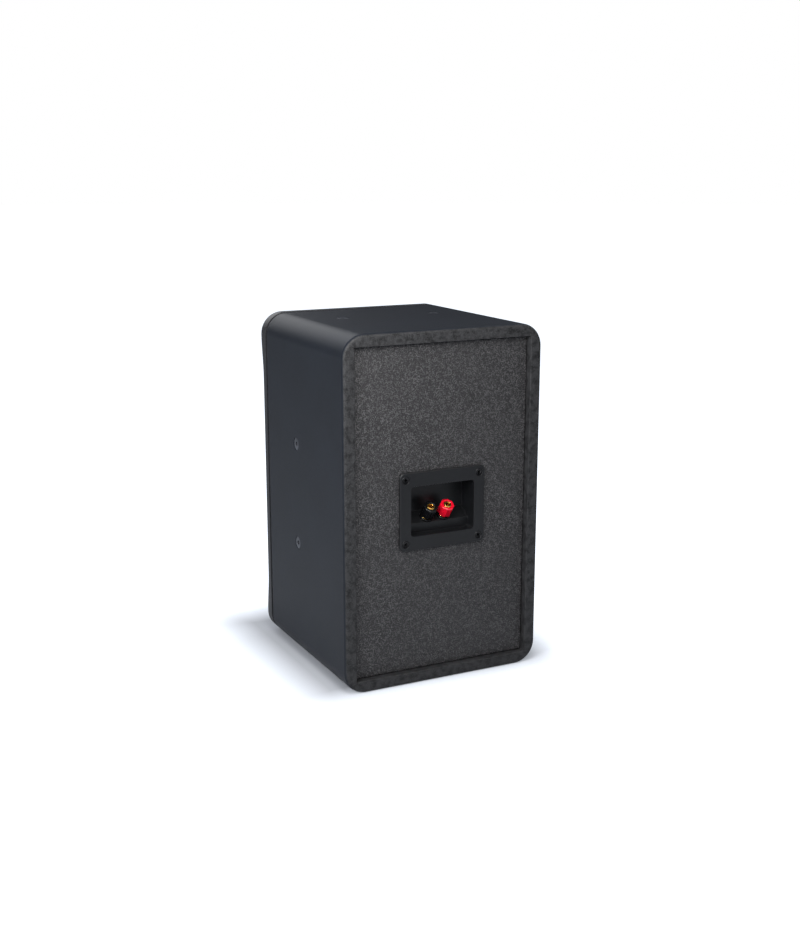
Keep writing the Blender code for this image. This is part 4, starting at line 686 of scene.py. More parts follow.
def make_finishes():
    """Every finish but the cabinet's own, by the record's slot or by the piece's name."""
    cup = tuple(bpy.context.scene.speaker_cup.plastic_colour)
    grille = bpy.context.scene.speaker_grille
    posts = bpy.context.scene.speaker_posts
    return {
        # injection-moulded ABS from a spark-eroded tool: satin, a fine even grain
        "cup": plain_finish(
            "satin_abs", cup, (0.33, 0.43), 30, 0.45, 0.012, 0.12, Specular_IOR_Level=0.36
        ),
        # the same plastic from an etched tool: duller, its grain deep enough to see
        "frame": plain_finish(
            "grained_abs", tuple(grille.frame_colour), (0.42, 0.55), 40, 0.5, 0.03, 0.15
        ),
        # glossy moulded nylon caps, a little uneven where the plastic has sunk
        "cap_red": plain_finish(
            "gloss_nylon_red", tuple(posts.red), (0.12, 0.2), 6, 2.5, 0.02, 0.08,
            Coat_Weight=0.35, Coat_Roughness=0.08,
        ),
        "cap_black": plain_finish(
            "gloss_nylon_black", tuple(posts.black), (0.2, 0.3), 6, 2.5, 0.02, 0.2,
            Specular_IOR_Level=0.3,
        ),
        # turned brass under a thin gold plate: bright, with fine tool marks round the axis
        "gold": plain_finish(
            "gold_plated_brass", linear("#f3c66a"), (0.16, 0.24), 3, 1.2, 0.002, 0.06, Metallic=1.0
        ),
        # steel blackened in hot oxide salts: dark, with a soft oily sheen
        "black_steel": plain_finish(
            "black_oxide_steel", linear("#5b5d63"), (0.34, 0.5), 4, 0.5, 0.008, 0.2, Metallic=1.0
        ),
        # steel plated with black zinc and sealed: nearly black, glossy in the recess
        "black_zinc": plain_finish(
            "black_zinc_plated_steel", linear("#050506"), (0.2, 0.3), 3, 0.4, 0.006, 0.2,
            Specular_IOR_Level=0.3,
        ),
        # polyester powder coat on steel: even, slightly orange-peeled
        "sheet": plain_finish(
            "powder_coated_steel", tuple(grille.sheet_colour), (0.4, 0.52), 25, 0.8, 0.02, 0.12
        ),
        # fibreboard under sprayed acrylic: matt, the fibres just telegraph through
        "paint": plain_finish("painted_fibreboard", linear("#161616"), (0.55, 0.7), 30, 0.6, 0.03, 0.15),
        # die-cast alloy under a thick powder coat: dark, with a soft orange peel
        "basket": plain_finish("powder_coated_casting", linear("#1b1b1d"), (0.4, 0.55), 20, 1.0, 0.05, 0.15),
        # moulded butyl: dark, matt, with a faint bloom
        "rubber": plain_finish("butyl_rubber", linear("#141415"), (0.5, 0.62), 14, 0.5, 0.01, 0.2),
        # paper pulp pressed on a mesh former and coated: fibrous, patchy, dull
        "paper": plain_finish(
            "coated_paper_pulp", linear("#1e1e20"), (0.5, 0.72), 9, 0.8, 0.09, 0.3, (2.2, 1, 1)
        ),
        # fine silk stiffened with a damping coat: dark, with a dull shine on the threads
        "silk": woven_cloth("coated_silk", linear("#1a1a1c"), 0.5, 0.45),
        # open cotton dipped in phenolic resin: amber, dry
        "spider": woven_cloth("resin_treated_cotton", linear("#a07840"), 0.6, 0.7),
        # zinc-plated mild steel, turned: a grey-blue sheen with tool marks
        "zinc": plain_finish(
            "zinc_plated_steel", linear("#b9bcc2"), (0.26, 0.4), 8, 0.3, 0.01, 0.1, Metallic=1.0
        ),
        # sintered strontium ferrite, ground flat: charcoal, dry, slightly pitted
        "ferrite": plain_finish("ground_ferrite", linear("#2a2a2c"), (0.6, 0.75), 12, 0.7, 0.03, 0.2),
        # closed-cell foam tape: soot black, no gloss, small open pores
        "foam": plain_finish("closed_cell_foam", linear("#202020"), (0.8, 0.95), 6, 0.9, 0.12, 0.25),
        # rolled aluminium foil: pale and bright, softly brushed
        "former": plain_finish(
            "thin_aluminium", linear("#c9cacd"), (0.2, 0.32), 8, 0.4, 0.006, 0.08, Metallic=1.0
        ),
        # glass-epoxy laminate under a green solder mask: smooth, half gloss
        "board": plain_finish("glass_epoxy_board", linear("#1c4a2a"), (0.3, 0.45), 9, 0.6, 0.02, 0.2),
        # polyester tape wound round the capacitor: red, glossy, faint wrinkles
        "film": plain_finish("capacitor_tape_wrap", linear("#8e1c14"), (0.2, 0.32), 10, 1.5, 0.02, 0.12),
        # extruded soft PVC on the leads: black, waxy
        "jacket": plain_finish("soft_pvc_jacket", linear("#111112"), (0.42, 0.55), 10, 0.8, 0.02, 0.2),
        # copper wire in clear enamel: orange brown with a line of light on each turn
        "winding": wound_wire("enamelled_copper_wire", linear("#c46a35"), 0.5, "Y"),
        "inductor": wound_wire("enamelled_copper_coil", linear("#b8622f"), 1.0, "Z"),
        # loose crimped polyester fibre: soft, white, no gloss
        "fibre": plain_finish(
            "crimped_polyester_fibre", linear("#dedcd4"), (0.9, 1.0), 18, 1.4, 0.9, 0.12, (3, 1, 1),
            Sheen_Weight=0.4, Sheen_Roughness=0.6,
        ),
    }


def finish_of(key):
    """The finish with this key; all of them are made the first time one is asked for."""
    if not finish_store:
        finish_store.update(make_finishes())
    return finish_store[key]


finish_store = {}


def refinish(slot_finishes):
    """Gives CAD nodes that are shown as they are a procedural finish."""
    for key, nodes in slot_finishes:
        for name in nodes:
            for slot in frame["nodes"][name].material_slots:
                slot.material = finish_of(key)


# ---------------------------------------------------------------- cabinet
def shell_section(settings):
    """Inset from the outline and depth of each loop, round one wall of the cabinet."""
    edge, inner, wall = settings.edge_rounding, settings.inner_rounding, settings.wall
    front, rear = SHELL_LOW.y, SHELL_HIGH.y
    section = [(edge - u, v) for u, v in arc((0, front + edge), edge, 270, 360, 5)]
    section += [(edge - u, v) for u, v in arc((0, rear - edge), edge, 0, 90, 5)]
    section += arc((wall - inner, rear - inner), inner, 90, 0, 3)
    section += arc((wall - inner, front + inner), inner, 0, -90, 3)
    return section


def plug_places():
    """Middle of each plug screw's outer end, and the turn that points the local +Y inwards."""
    places = []
    for side, sign in (("right", 1), ("left", -1)):
        for level in ("upper", "lower"):
            middle = middle_of(f"plug_screw_{side}_{level}")
            end = (sign * SHELL_HIGH.x, middle.y, middle.z)
            places.append((end, (0, 0, sign * QUARTER_TURN)))
    for side in ("right", "left"):
        middle = middle_of(f"plug_screw_top_{side}")
        places.append(((middle.x, middle.y, SHELL_HIGH.z), (-QUARTER_TURN, 0, 0)))
    return places


def socket_screw(head, shank, length, socket, depth, sink):
    """A countersunk screw along +Y with a hexagon socket; its rim lies sink below the surface."""
    bm = bmesh.new()
    steps = 48
    crown = 0.12 * MILLIMETRE
    rows = []

    def circle(radius, along):
        return [
            (radius * math.cos(FULL_TURN * i / steps), along, radius * math.sin(FULL_TURN * i / steps))
            for i in range(steps)
        ]

    def hexagon(radius, along):
        points = []
        for i in range(steps):
            angle = FULL_TURN * i / steps
            across = math.cos(math.pi / 6) / math.cos(angle % (math.pi / 3) - math.pi / 6)
            points.append((radius * across * math.cos(angle), along, radius * across * math.sin(angle)))
        return points

    rows.append(hexagon(socket * 0.98, sink + depth))
    rows.append(hexagon(socket, sink + crown))
    rows.append(hexagon(socket * 1.08, sink))
    rows.append(circle(head - 2 * crown, sink))
    rows.append(circle(head - crown / 2, sink + crown / 2))
    rows.append(circle(head, sink + 2 * crown))
    rows.append(circle(shank, sink + 2 * crown + head - shank))
    rows.append(circle(shank, length))
    loft(bm, rows, capped=True)
    return bm


def make_shell(settings, finish):
    """The wrapped boards: one wall section swept round the outline, with screw seats and mitred cuts."""
    bm = bmesh.new()
    centre = (0, SHELL_MIDDLE.z)
    width, height = SHELL_HIGH.x - SHELL_LOW.x, SHELL_HIGH.z - SHELL_LOW.z
    inner_corner = 0.0006
    loops = []
    for inset, depth in shell_section(settings):
        inside = inset > settings.wall - 2 * settings.inner_rounding
        radius = inner_corner if inside else settings.corner_radius - inset
        outline = rounded_rectangle(width - 2 * inset, height - 2 * inset, radius, 20, centre)
        loops.append([(x, depth, z) for x, z in outline])
    loft(bm, loops, closed=True)
    shell = as_object("cabinet_wrap", bm)
    # a countersunk seat for each plug screw, a little wider than its head
    head, shank = settings.plug_head + PLUG_SINK, 0.0033
    outside, lip, deep = -0.002, 0.0004, 0.013
    profile = [(0, outside), (head, outside), (head, lip)]
    profile += [(shank, lip + head - shank), (shank, deep), (0, deep)]
    bm = bmesh.new()
    for end, (turn_x, _, turn_z) in plug_places():
        seat = bmesh.new()
        lathe(seat, profile, 48, closed=False)
        turn = Matrix.Rotation(turn_z, 4, "Z") @ Matrix.Rotation(turn_x, 4, "X")
        append_mesh(bm, seat, Matrix.Translation(end) @ turn)
    cut_seams(bm, settings)
    cut(shell, bm)
    shade(shell, 40)
    place(shell, "cabinet", "vinyl_wrap", finish, "cabinet_shell")


def cut_seams(bm, settings):
    """Wedges for the mitred cuts where the wrap is folded in at the four corners of the rear rim."""
    half, depth = 0.0004, 0.0006
    for side in (1, -1):
        for level in (1, -1):
            corner = Vector((side * (SHELL_HIGH.x - settings.wall), 0, SHELL_MIDDLE.z))
            corner.z += level * ((SHELL_HIGH.z - SHELL_LOW.z) / 2 - settings.wall)
            along = Vector((side, 0, level)).normalized()
            across = Vector((-level, 0, side)).normalized()
            loops = []
            for reach, width in ((-0.001, half), (settings.seam_length, half / 3)):
                foot = corner + along * reach
                points = []
                for offset, y in ((-width, REAR_Y + 0.001), (0, REAR_Y - depth), (width, REAR_Y + 0.001)):
                    points.append(foot + across * offset + Vector((0, y, 0)))
                loops.append(points)
            wedge = bmesh.new()
            loft(wedge, loops, capped=True)
            clean(wedge)
            append_mesh(bm, wedge, Matrix())


def make_panel(settings, finish):
    """The rear panel: a rounded edge inside an open line, and a cutout behind the cup's plate."""
    gap = settings.panel_gap
    edge = settings.panel_rounding
    half_x = SHELL_HIGH.x - settings.wall - gap
    low_z = SHELL_LOW.z + settings.wall + gap
    high_z = SHELL_HIGH.z - settings.wall - gap
    bm = bmesh.new()
    section = [(0, PANEL_LOW.y)]
    section += [(edge - u, v) for u, v in arc((0, PANEL_HIGH.y - edge), edge, 0, 90, 4)]
    loops = []
    for inset, depth in section:
        outline = rounded_rectangle(
            2 * (half_x - inset), high_z - low_z - 2 * inset, 0.0012, 4, (0, (low_z + high_z) / 2)
        )
        loops.append([(x, depth, z) for x, z in outline])
    loft(bm, loops, capped=True)
    panel = as_object("rear_board", bm)
    cup = bpy.context.scene.speaker_cup
    room = cup.wall + 0.0006
    bm = bmesh.new()
    half_w = cup.opening_width / 2 + room
    half_h = cup.opening_height / 2 + room
    low = (-half_w, PANEL_LOW.y - 0.01, CUP_MIDDLE.z - half_h)
    block(bm, low, (half_w, PANEL_HIGH.y + 0.01, CUP_MIDDLE.z + half_h))
    for number in range(1, 5):
        middle = middle_of(f"cup_screw_{number}")
        hole = rounded_rectangle(0.0036, 0.0036, 0.00179, 6, (middle.x, middle.z))
        prism(bm, hole, PANEL_LOW.y - 0.01, PANEL_HIGH.y + 0.01)
    cut(panel, bm)
    shade(panel, 40)
    place(panel, "cabinet", "textured_vinyl", finish, "rear_panel")


def make_baffle():
    """The painted front board, with a stepped seat for each driver and holes for the grille's pegs."""
    woofer, tweeter = middle_of("woofer_gasket"), middle_of("tweeter_faceplate")
    bm = bmesh.new()
    block(bm, BAFFLE_LOW, BAFFLE_HIGH)
    baffle = as_object("front_board", bm)
    soften(baffle, 0.0006)
    through = 0.03
    # each driver's middle, the radius and depth of its rebate, and the radius of its cutout
    seats = ((woofer, 0.0828, 0.0066, 0.074), (tweeter, 0.0503, 0.0048, 0.0375))
    # each hole is cut on its own, because a cutter whose own parts overlap leaves a skin
    for middle, rim, rebate, cutout in seats:
        for radius, depth in ((rim, rebate), (cutout, through)):
            bm = bmesh.new()
            outline = [(middle.x + u, middle.z + v) for u, v in arc((0, 0), radius, 0, 360, 128)[:-1]]
            prism(bm, outline, FRONT_Y - 0.01, FRONT_Y + depth)
            cut(baffle, bm)
    bm = bmesh.new()
    for x, z in peg_places():
        outline = [(x + u, z + v) for u, v in arc((0, 0), 0.0034, 0, 360, 24)[:-1]]
        prism(bm, outline, FRONT_Y - 0.01, FRONT_Y + through)
    cut(baffle, bm)
    shade(baffle, 40)
    place(baffle, "cabinet", "baffle_paint", finish_of("paint"), "front_baffle")


def peg_places():
    """The (x, z) of each grille peg: the frame's points behind its flat back, grouped."""
    flat_back = SHELL_LOW.y
    points = [v.co for v in frame["nodes"]["grille_frame"].data.vertices if v.co.y > flat_back + 0.005]
    groups = []
    for point in points:
        for group in groups:
            if (group[0].xz - point.xz).length < 0.01:
                group.append(point)
                break
        else:
            groups.append([point])
    middles = []
    for group in groups:
        xs = [p.x for p in group]
        zs = [p.z for p in group]
        middles.append(((min(xs) + max(xs)) / 2, (min(zs) + max(zs)) / 2))
    return middles


class SPEAKER_OT_make_cabinet(bpy.types.Operator):
    """Make the wrapped cabinet, its rear panel, the front baffle and the plug screws"""

    bl_idname = "speaker.make_cabinet"
    bl_label = "Make cabinet"

    def execute(self, context):
        settings = context.scene.speaker_cabinet
        make_shell(settings, vinyl_wrap(settings))
        make_panel(settings, pebble_vinyl(settings))
        make_baffle()
        ends, turns = zip(*plug_places())
        screw = socket_screw(settings.plug_head, 0.003, 0.0105, settings.plug_socket, 0.0024, PLUG_SINK)
        screws = repeated("plug_screws", screw, ends, turns, finish_of("black_steel"))
        nodes = [name for name in frame["nodes"] if name.startswith("plug_screw_")]
        place(screws, "cabinet", "black_screw_steel", None, *nodes)
        return {"FINISHED"}


# ---------------------------------------------------------------- grille
def rim_depth(height, settings):
    """Depth of the grille at a height: full at the ends, easing to the middle depth."""
    from_end = min(height - RIM_LOW.z, RIM_HIGH.z - height)
    t = (from_end - settings.rise_near) / (settings.rise_far - settings.rise_near)
    t = min(max(t, 0.0), 1.0)
    return settings.end_depth + (settings.middle_depth - settings.end_depth) * t * t * (3 - 2 * t)


def frame_outline(inset, settings, corner_radius):
    """The grille's outline moved inwards, with extra points up the long sides."""
    width, height = RIM_HIGH.x - RIM_LOW.x, RIM_HIGH.z - RIM_LOW.z
    radius = max(corner_radius - inset, 0.002)
    steps = 16
    centre = (0, middle_of("grille_frame").z)
    points = rounded_rectangle(width - 2 * inset, height - 2 * inset, radius, steps, centre)
    rises = 24
    reach = settings.rise_far - corner_radius
    up = [corner_radius + 0.003 + (reach + 0.004) * i / rises for i in range(rises + 1)]
    heights = up + [height - value for value in reversed(up)]
    half = width / 2 - inset
    turn = steps + 1
    right, top, left = points[:turn], points[turn : 3 * turn], points[3 * turn :]
    return right + [(half, z) for z in heights] + top + [(-half, z) for z in reversed(heights)] + left


def make_frame(settings, corner_radius):
    """The moulded frame: one section swept round the outline, its front following the grille's curve."""
    edge = settings.rounding
    lip = 0.0006
    border, width = settings.border, settings.frame_width
    back = SHELL_LOW.y - settings.shadow_gap
    section = [(0.0003, None), (0.0, -0.0003)]
    section += [(edge - u, edge - v) for u, v in arc((0, 0), edge, 0, 90, 6)]
    section += [(border - lip + u, lip - v) for u, v in arc((0, 0), lip, 90, 0, 3)]
    section += [(border, 0.0022), (width, 0.0022), (width, None)]
    bm = bmesh.new()
    loops = []
    for inset, behind in section:
        loop = []
        for x, z in frame_outline(inset, settings, corner_radius):
            if behind is None:
                depth = 0.0
            elif behind < 0:
                depth = -behind
            else:
                depth = rim_depth(z, settings) - behind
            loop.append((x, back - depth, z))
        loops.append(loop)
    loft(bm, loops, closed=True)
    frame_piece = as_object("grille_moulding", bm)
    # the pegs: a shank and a narrower tip
    tip = RIM_HIGH.y
    bm = bmesh.new()
    for x, z in peg_places():
        for radius, low, high in ((0.003, back - 0.002, tip - 0.001), (0.0022, tip - 0.0011, tip)):
            outline = [(x + u, z + v) for u, v in arc((0, 0), radius, 0, 360, 24)[:-1]]
            prism(bm, outline, low, high)
    cut(frame_piece, bm, "UNION")
    shade(frame_piece, 45)
    place(frame_piece, "grille", "moulded_abs", finish_of("frame"), "grille_frame")
    return back


def perforated_cell(settings):
    """A hexagon, upright, with a round hole of twelve sides, facing -Y."""
    bm = bmesh.new()
    outer = [bm.verts.new((u, 0, v)) for u, v in arc((0, 0), settings.pitch / math.sqrt(3), 30, 390, 6)[:-1]]
    inner = [bm.verts.new((u, 0, v)) for u, v in arc((0, 0), settings.hole_radius, 15, 375, 12)[:-1]]
    for i in range(6):
        j = (i + 1) % 6
        near, far, after = inner[2 * i + 1], inner[(2 * i + 2) % 12], outer[j]
        bm.faces.new((outer[i], after, far, near))
        bm.faces.new((outer[i], near, inner[2 * i]))
    return bm


def boundary_loops(bm):
    """The open edges, one list for each loop."""
    left = {edge for edge in bm.edges if edge.is_boundary}
    loops = []
    while left:
        edge = left.pop()
        loop = [edge]
        ends = list(edge.verts)
        while ends:
            vert = ends.pop()
            for following in vert.link_edges:
                if following in left:
                    left.discard(following)
                    loop.append(following)
                    ends.append(following.other_vert(vert))
        loops.append(loop)
    return loops


def make_sheet(settings, corner_radius, back):
    """The perforated sheet: cells in rows, a plain border to the outline, a thickness and the curve."""
    finish = finish_of("sheet")
    margin = 0.0003
    inset = settings.border + margin
    width = SHEET_HIGH.x - SHEET_LOW.x
    height = SHEET_HIGH.z - SHEET_LOW.z
    plain = 0.0035
    obj = as_object("perforated_sheet", perforated_cell(settings))
    modifier = obj.modifiers.new("rows", "NODES")
    sizes = {
        "Pitch": settings.pitch,
        "Width": width - 2 * plain - settings.pitch,
        "Height": height - 2 * plain - settings.pitch,
        "Corner Radius": corner_radius - inset - plain - settings.pitch / 2,
    }
    fill_inputs(modifier, perforation_tree(), {**sizes, "Material": finish})
    settle(obj)
    bm = bmesh.new()
    bm.from_mesh(obj.data)
    bmesh.ops.remove_doubles(bm, verts=bm.verts, dist=SEWING)
    outer = max(boundary_loops(bm), key=len)
    outline = []
    corner = rounded_rectangle(width, height, corner_radius - inset, 12, (0, 0))
    for start, end in zip(corner, corner[1:] + corner[:1]):
        run = math.dist(start, end)
        count = max(1, round(run / settings.pitch))
        for i in range(count):
            t = i / count
            outline.append((start[0] + (end[0] - start[0]) * t, start[1] + (end[1] - start[1]) * t))
    verts = [bm.verts.new((x, 0, z)) for x, z in outline]
    edges = [bm.edges.new(pair) for pair in zip(verts, verts[1:] + verts[:1])]
    bmesh.ops.triangle_fill(bm, use_beauty=True, use_dissolve=False, edges=outer + edges)
    bmesh.ops.recalc_face_normals(bm, faces=bm.faces)
    if sum(face.normal.y for face in bm.faces) > 0:
        bmesh.ops.reverse_faces(bm, faces=bm.faces)
    setback = 0.0008
    middle_z = middle_of("grille_mesh").z
    for vert in bm.verts:
        z = vert.co.z + middle_z
        vert.co = (vert.co.x, back - rim_depth(z, settings) + setback, z)
    bm.to_mesh(obj.data)
    bm.free()
    thick = obj.modifiers.new("thickness", "SOLIDIFY")
    thick.thickness = settings.sheet_thickness
    thick.offset = -1
    settle(obj)
    shade(obj, 30, weighted=False)
    place(obj, "grille", "perforated_steel", finish, "grille_mesh")


class SPEAKER_OT_make_grille(bpy.types.Operator):
    """Make the moulded grille frame and its perforated steel sheet"""

    bl_idname = "speaker.make_grille"
    bl_label = "Make grille"

    def execute(self, context):
        settings = context.scene.speaker_grille
        corner_radius = context.scene.speaker_cabinet.corner_radius
        back = make_frame(settings, corner_radius)
        make_sheet(settings, corner_radius, back)
        return {"FINISHED"}


# ---------------------------------------------------------------- terminal cup
def post_frame(colour_name):
    """Foot, outward axis and the matrix that takes the local +Y axis there, from the cap's joint."""
    joint = next(j for j in frame["joints"] if j["name"] == f"cap_{colour_name}_turn")
    foot, axis = Vector(joint["pos_m"]), Vector(joint["axis"]).normalized()
    tilt = math.atan2(axis.z, axis.y)
    return foot, axis, Matrix.Translation(foot) @ Matrix.Rotation(tilt, 4, "X")


def pocket_profile(settings, grow, mouth):
    """The pocket's side view (y, z): the cavity itself, or grown outwards by a wall."""
    axis = post_frame("black")[1]
    slope = axis.y / axis.z
    ledge_y = CUP_HIGH.y - settings.ledge_depth - grow
    back_y = CUP_HIGH.y - settings.pocket_depth - grow
    bottom = CUP_MIDDLE.z - settings.opening_height / 2 - grow
    top = CUP_MIDDLE.z + settings.opening_height / 2 + grow
    ramp_low = bottom + grow + settings.ledge_height - (grow / axis.z - grow * slope)
    ramp_high = ramp_low + (ledge_y - back_y) * slope
    return [
        (mouth, bottom),
        (ledge_y, bottom),
        (ledge_y, ramp_low),
        (back_y, ramp_high),
        (back_y, top),
        (mouth, top),
    ]


def side_prism(bm, outline, half):
    """An outline of (y, z) points, extruded along X to both sides."""
    loft(bm, [[(x, y, z) for y, z in outline] for x in (-half, half)], capped=True)


def cup_screw_places():
    """Middle of each cup screw, on the face of the cup's plate."""
    places = []
    for number in range(1, 5):
        middle = middle_of(f"cup_screw_{number}")
        places.append((middle.x, CUP_HIGH.y, middle.z))
    return places


def make_cup(settings):
    """The moulded cup: a chamfered plate, a pocket with a ledge and a ramp, screw seats and post holes."""
    width, height = CUP_HIGH.x - CUP_LOW.x, CUP_HIGH.z - CUP_LOW.z
    centre = (0, CUP_MIDDLE.z)
    back = CUP_HIGH.y - settings.plate_thickness
    chamfer = settings.chamfer
    bm = bmesh.new()
    loops = []
    face, middle_step = CUP_HIGH.y, chamfer * 0.3
    for inset, depth in ((0, back), (0, face - chamfer), (middle_step, face - middle_step), (chamfer, face)):
        outline = rounded_rectangle(
            width - 2 * inset, height - 2 * inset, settings.corner_radius - inset, 10, centre
        )
        loops.append([(x, depth, z) for x, z in outline])
    loft(bm, loops, capped=True)
    cup = as_object("terminal_cup_moulding", bm)
    half = settings.opening_width / 2
    bm = bmesh.new()
    side_prism(bm, pocket_profile(settings, settings.wall, face - 2 * chamfer), half + settings.wall)
    cut(cup, bm, "UNION")
    bm = bmesh.new()
    side_prism(bm, pocket_profile(settings, 0.0, face + 0.010), half)
    cavity = as_object("cup_cavity", bm)
    bm = bmesh.new()
    opening = rounded_rectangle(
        settings.opening_width, settings.opening_height, settings.opening_radius, 8, centre
    )
    prism(bm, opening, face - 0.1, face + 0.1)
    cut(cavity, bm, "INTERSECT")
    bm = bmesh.new()
    bm.from_mesh(cavity.data)
    bpy.data.objects.remove(cavity, do_unlink=True)
    cut(cup, bm)
    soften(cup, 0.0004, 2, 35)
    bm = bmesh.new()
    head, shank = settings.screw_head + 0.35 * MILLIMETRE, 0.0018
    outside, lip, deep = 0.005, -0.0003, -0.008
    profile = [(0, outside), (head, outside), (head, lip)]
    profile += [(shank, lip - head + shank), (shank, deep), (0, deep)]
    for x, y, z in cup_screw_places():
        seat = bmesh.new()
        lathe(seat, profile, 40, closed=False)
        append_mesh(bm, seat, Matrix.Translation((x, y, z)))
    for colour_name in ("black", "red"):
        hole = bmesh.new()
        lathe(hole, [(0, -0.005), (POST_HOLE, -0.005), (POST_HOLE, 0.005), (0, 0.005)], 40, closed=False)
        append_mesh(bm, hole, post_frame(colour_name)[2])
    cut(cup, bm)
    shade(cup, 40)
    place(cup, "cabinet", "moulded_abs", finish_of("cup"), "terminal_cup")


def append_mesh(bm, other, matrix):
    """Adds another mesh, moved by a matrix, and frees it."""
    bmesh.ops.transform(other, matrix=matrix, verts=other.verts)
    mesh = bpy.data.meshes.new("part")
    other.to_mesh(mesh)
    other.free()
    bm.from_mesh(mesh)
    bpy.data.meshes.remove(mesh)


def cross_screw(head, shank, length, sink, height=0.0):
    """A screw along +Y with a tapered cross recess; a height above 0 makes its head a pan."""
    bm = bmesh.new()
    steps = 40
    edge = 0.15 * MILLIMETRE
    if height:
        top = -height
        profile = [(0, top - 0.25 * height)]
        profile += [(head * math.sin(a), top - 0.25 * height * math.cos(a)) for a in (0.5, 1.0, 1.3)]
        profile += [(head, top + 0.3 * height), (head, 0), (shank, 0), (shank, length), (0, length)]
    else:
        # the head is dished a little, as a pressed head is
        profile = [
            (0, sink + 3 * edge),
            (head * 0.5, sink + 2 * edge),
            (head - edge, sink),
            (head, sink + edge),
            (shank, sink + edge + head - shank),
            (shank, length),
            (0, length),
        ]
    lathe(bm, profile, steps, closed=False)
    screw = as_object("one_screw", bm)
    recess = bmesh.new()
    long, short = head * 0.62, head * 0.17
    top = profile[0][1] - edge
    bottom = profile[0][1] + head * 0.55
    for across, along in ((long, short), (short, long)):
        loops = []
        for level, share in ((top, 1.0), (bottom, 0.42)):
            x, z = across * share, along * share
            loops.append([(-x, level, -z), (x, level, -z), (x, level, z), (-x, level, z)])
        loft(recess, loops, capped=True)
        cut(screw, recess)
        recess = bmesh.new()
    recess.free()
    bm = bmesh.new()
    bm.from_mesh(screw.data)
    bpy.data.objects.remove(screw, do_unlink=True)
    return bm


class SPEAKER_OT_make_cup(bpy.types.Operator):
    """Make the terminal cup and the four screws that hold it"""

    bl_idname = "speaker.make_cup"
    bl_label = "Make terminal cup"

    def execute(self, context):
        settings = context.scene.speaker_cup
        make_cup(settings)
        places = cup_screw_places()
        # each screw was driven home on its own, so the recesses don't line up
        turns = [(0, 0.4 * number, math.pi) for number in range(len(places))]
        screw = cross_screw(settings.screw_head, 0.0015, 0.0128, 0.15 * MILLIMETRE)
        screws = repeated("cup_screws", screw, places, turns, finish_of("black_zinc"))
        nodes = [f"cup_screw_{number}" for number in range(1, 5)]
        place(screws, "cabinet", "black_screw_steel", None, *nodes)
        return {"FINISHED"}


# ---------------------------------------------------------------- binding posts
def span(node, foot, axis):
    """Lowest and highest place of a node along a post's axis, and its largest radius round it."""
    along, radii = [], []
    for vert in frame["nodes"][node].data.vertices:
        offset = vert.co - foot
        along.append(offset.dot(axis))
        radii.append((offset - axis * along[-1]).length)
    return min(along), max(along), max(radii)


def flatted_loop(radius, flats, rounding, along, steps):
    """A polygon of flats with rounded corners, inside the radius, at a place along the axis."""
    points = []
    reach = radius - rounding
    half = math.pi / flats
    for i in range(flats):
        middle = FULL_TURN * (i + 0.5) / flats
        for step in range(steps + 1):
            angle = middle - half + 2 * half * step / steps
            x = reach * math.cos(middle) + rounding * math.cos(angle)
            z = reach * math.sin(middle) + rounding * math.sin(angle)
            points.append((x, along, z))
    return points


def make_cap(name, settings, low, high, radius, bore, matrix):
    """The cap: flats with soft corners, a tapered foot, a rounded end and a bore for its insert."""
    steps = 5
    edge, taper = settings.edge_rounding, 0.0016
    rounding = settings.corner_rounding

    def circle(r, along):
        loop = flatted_loop(radius, settings.flats, rounding, along, steps)
        return [(r * x / math.hypot(x, z), along, r * z / math.hypot(x, z)) for x, along, z in loop]

    def body(shrink, along):
        corner = max(rounding - shrink / 2, 0.0004)
        return flatted_loop(radius - shrink, settings.flats, corner, along, steps)

    loops = [circle(bore, low), body(taper, low)]
    for angle in (20, 45, 70, 90):
        rise, run = math.sin(math.radians(angle)), math.cos(math.radians(angle))
        loops.append(body(taper * (1 - rise), low + taper * (1 - run)))
    loops.append(body(0, high - edge))
    for angle in (25, 50, 75, 90):
        rise, run = math.sin(math.radians(angle)), math.cos(math.radians(angle))
        loops.append(body(edge * (1 - run), high - edge * (1 - rise)))
    dish = 0.0003
    loops.append(circle(bore + 0.0007, high))
    loops.append(circle(bore + 0.0002, high - dish))
    loops.append(circle(bore, high - 2 * dish))
    bm = bmesh.new()
    loft(bm, loops, closed=True)
    cap = as_object(name, bm, matrix)
    shade(cap, 50)
    return cap


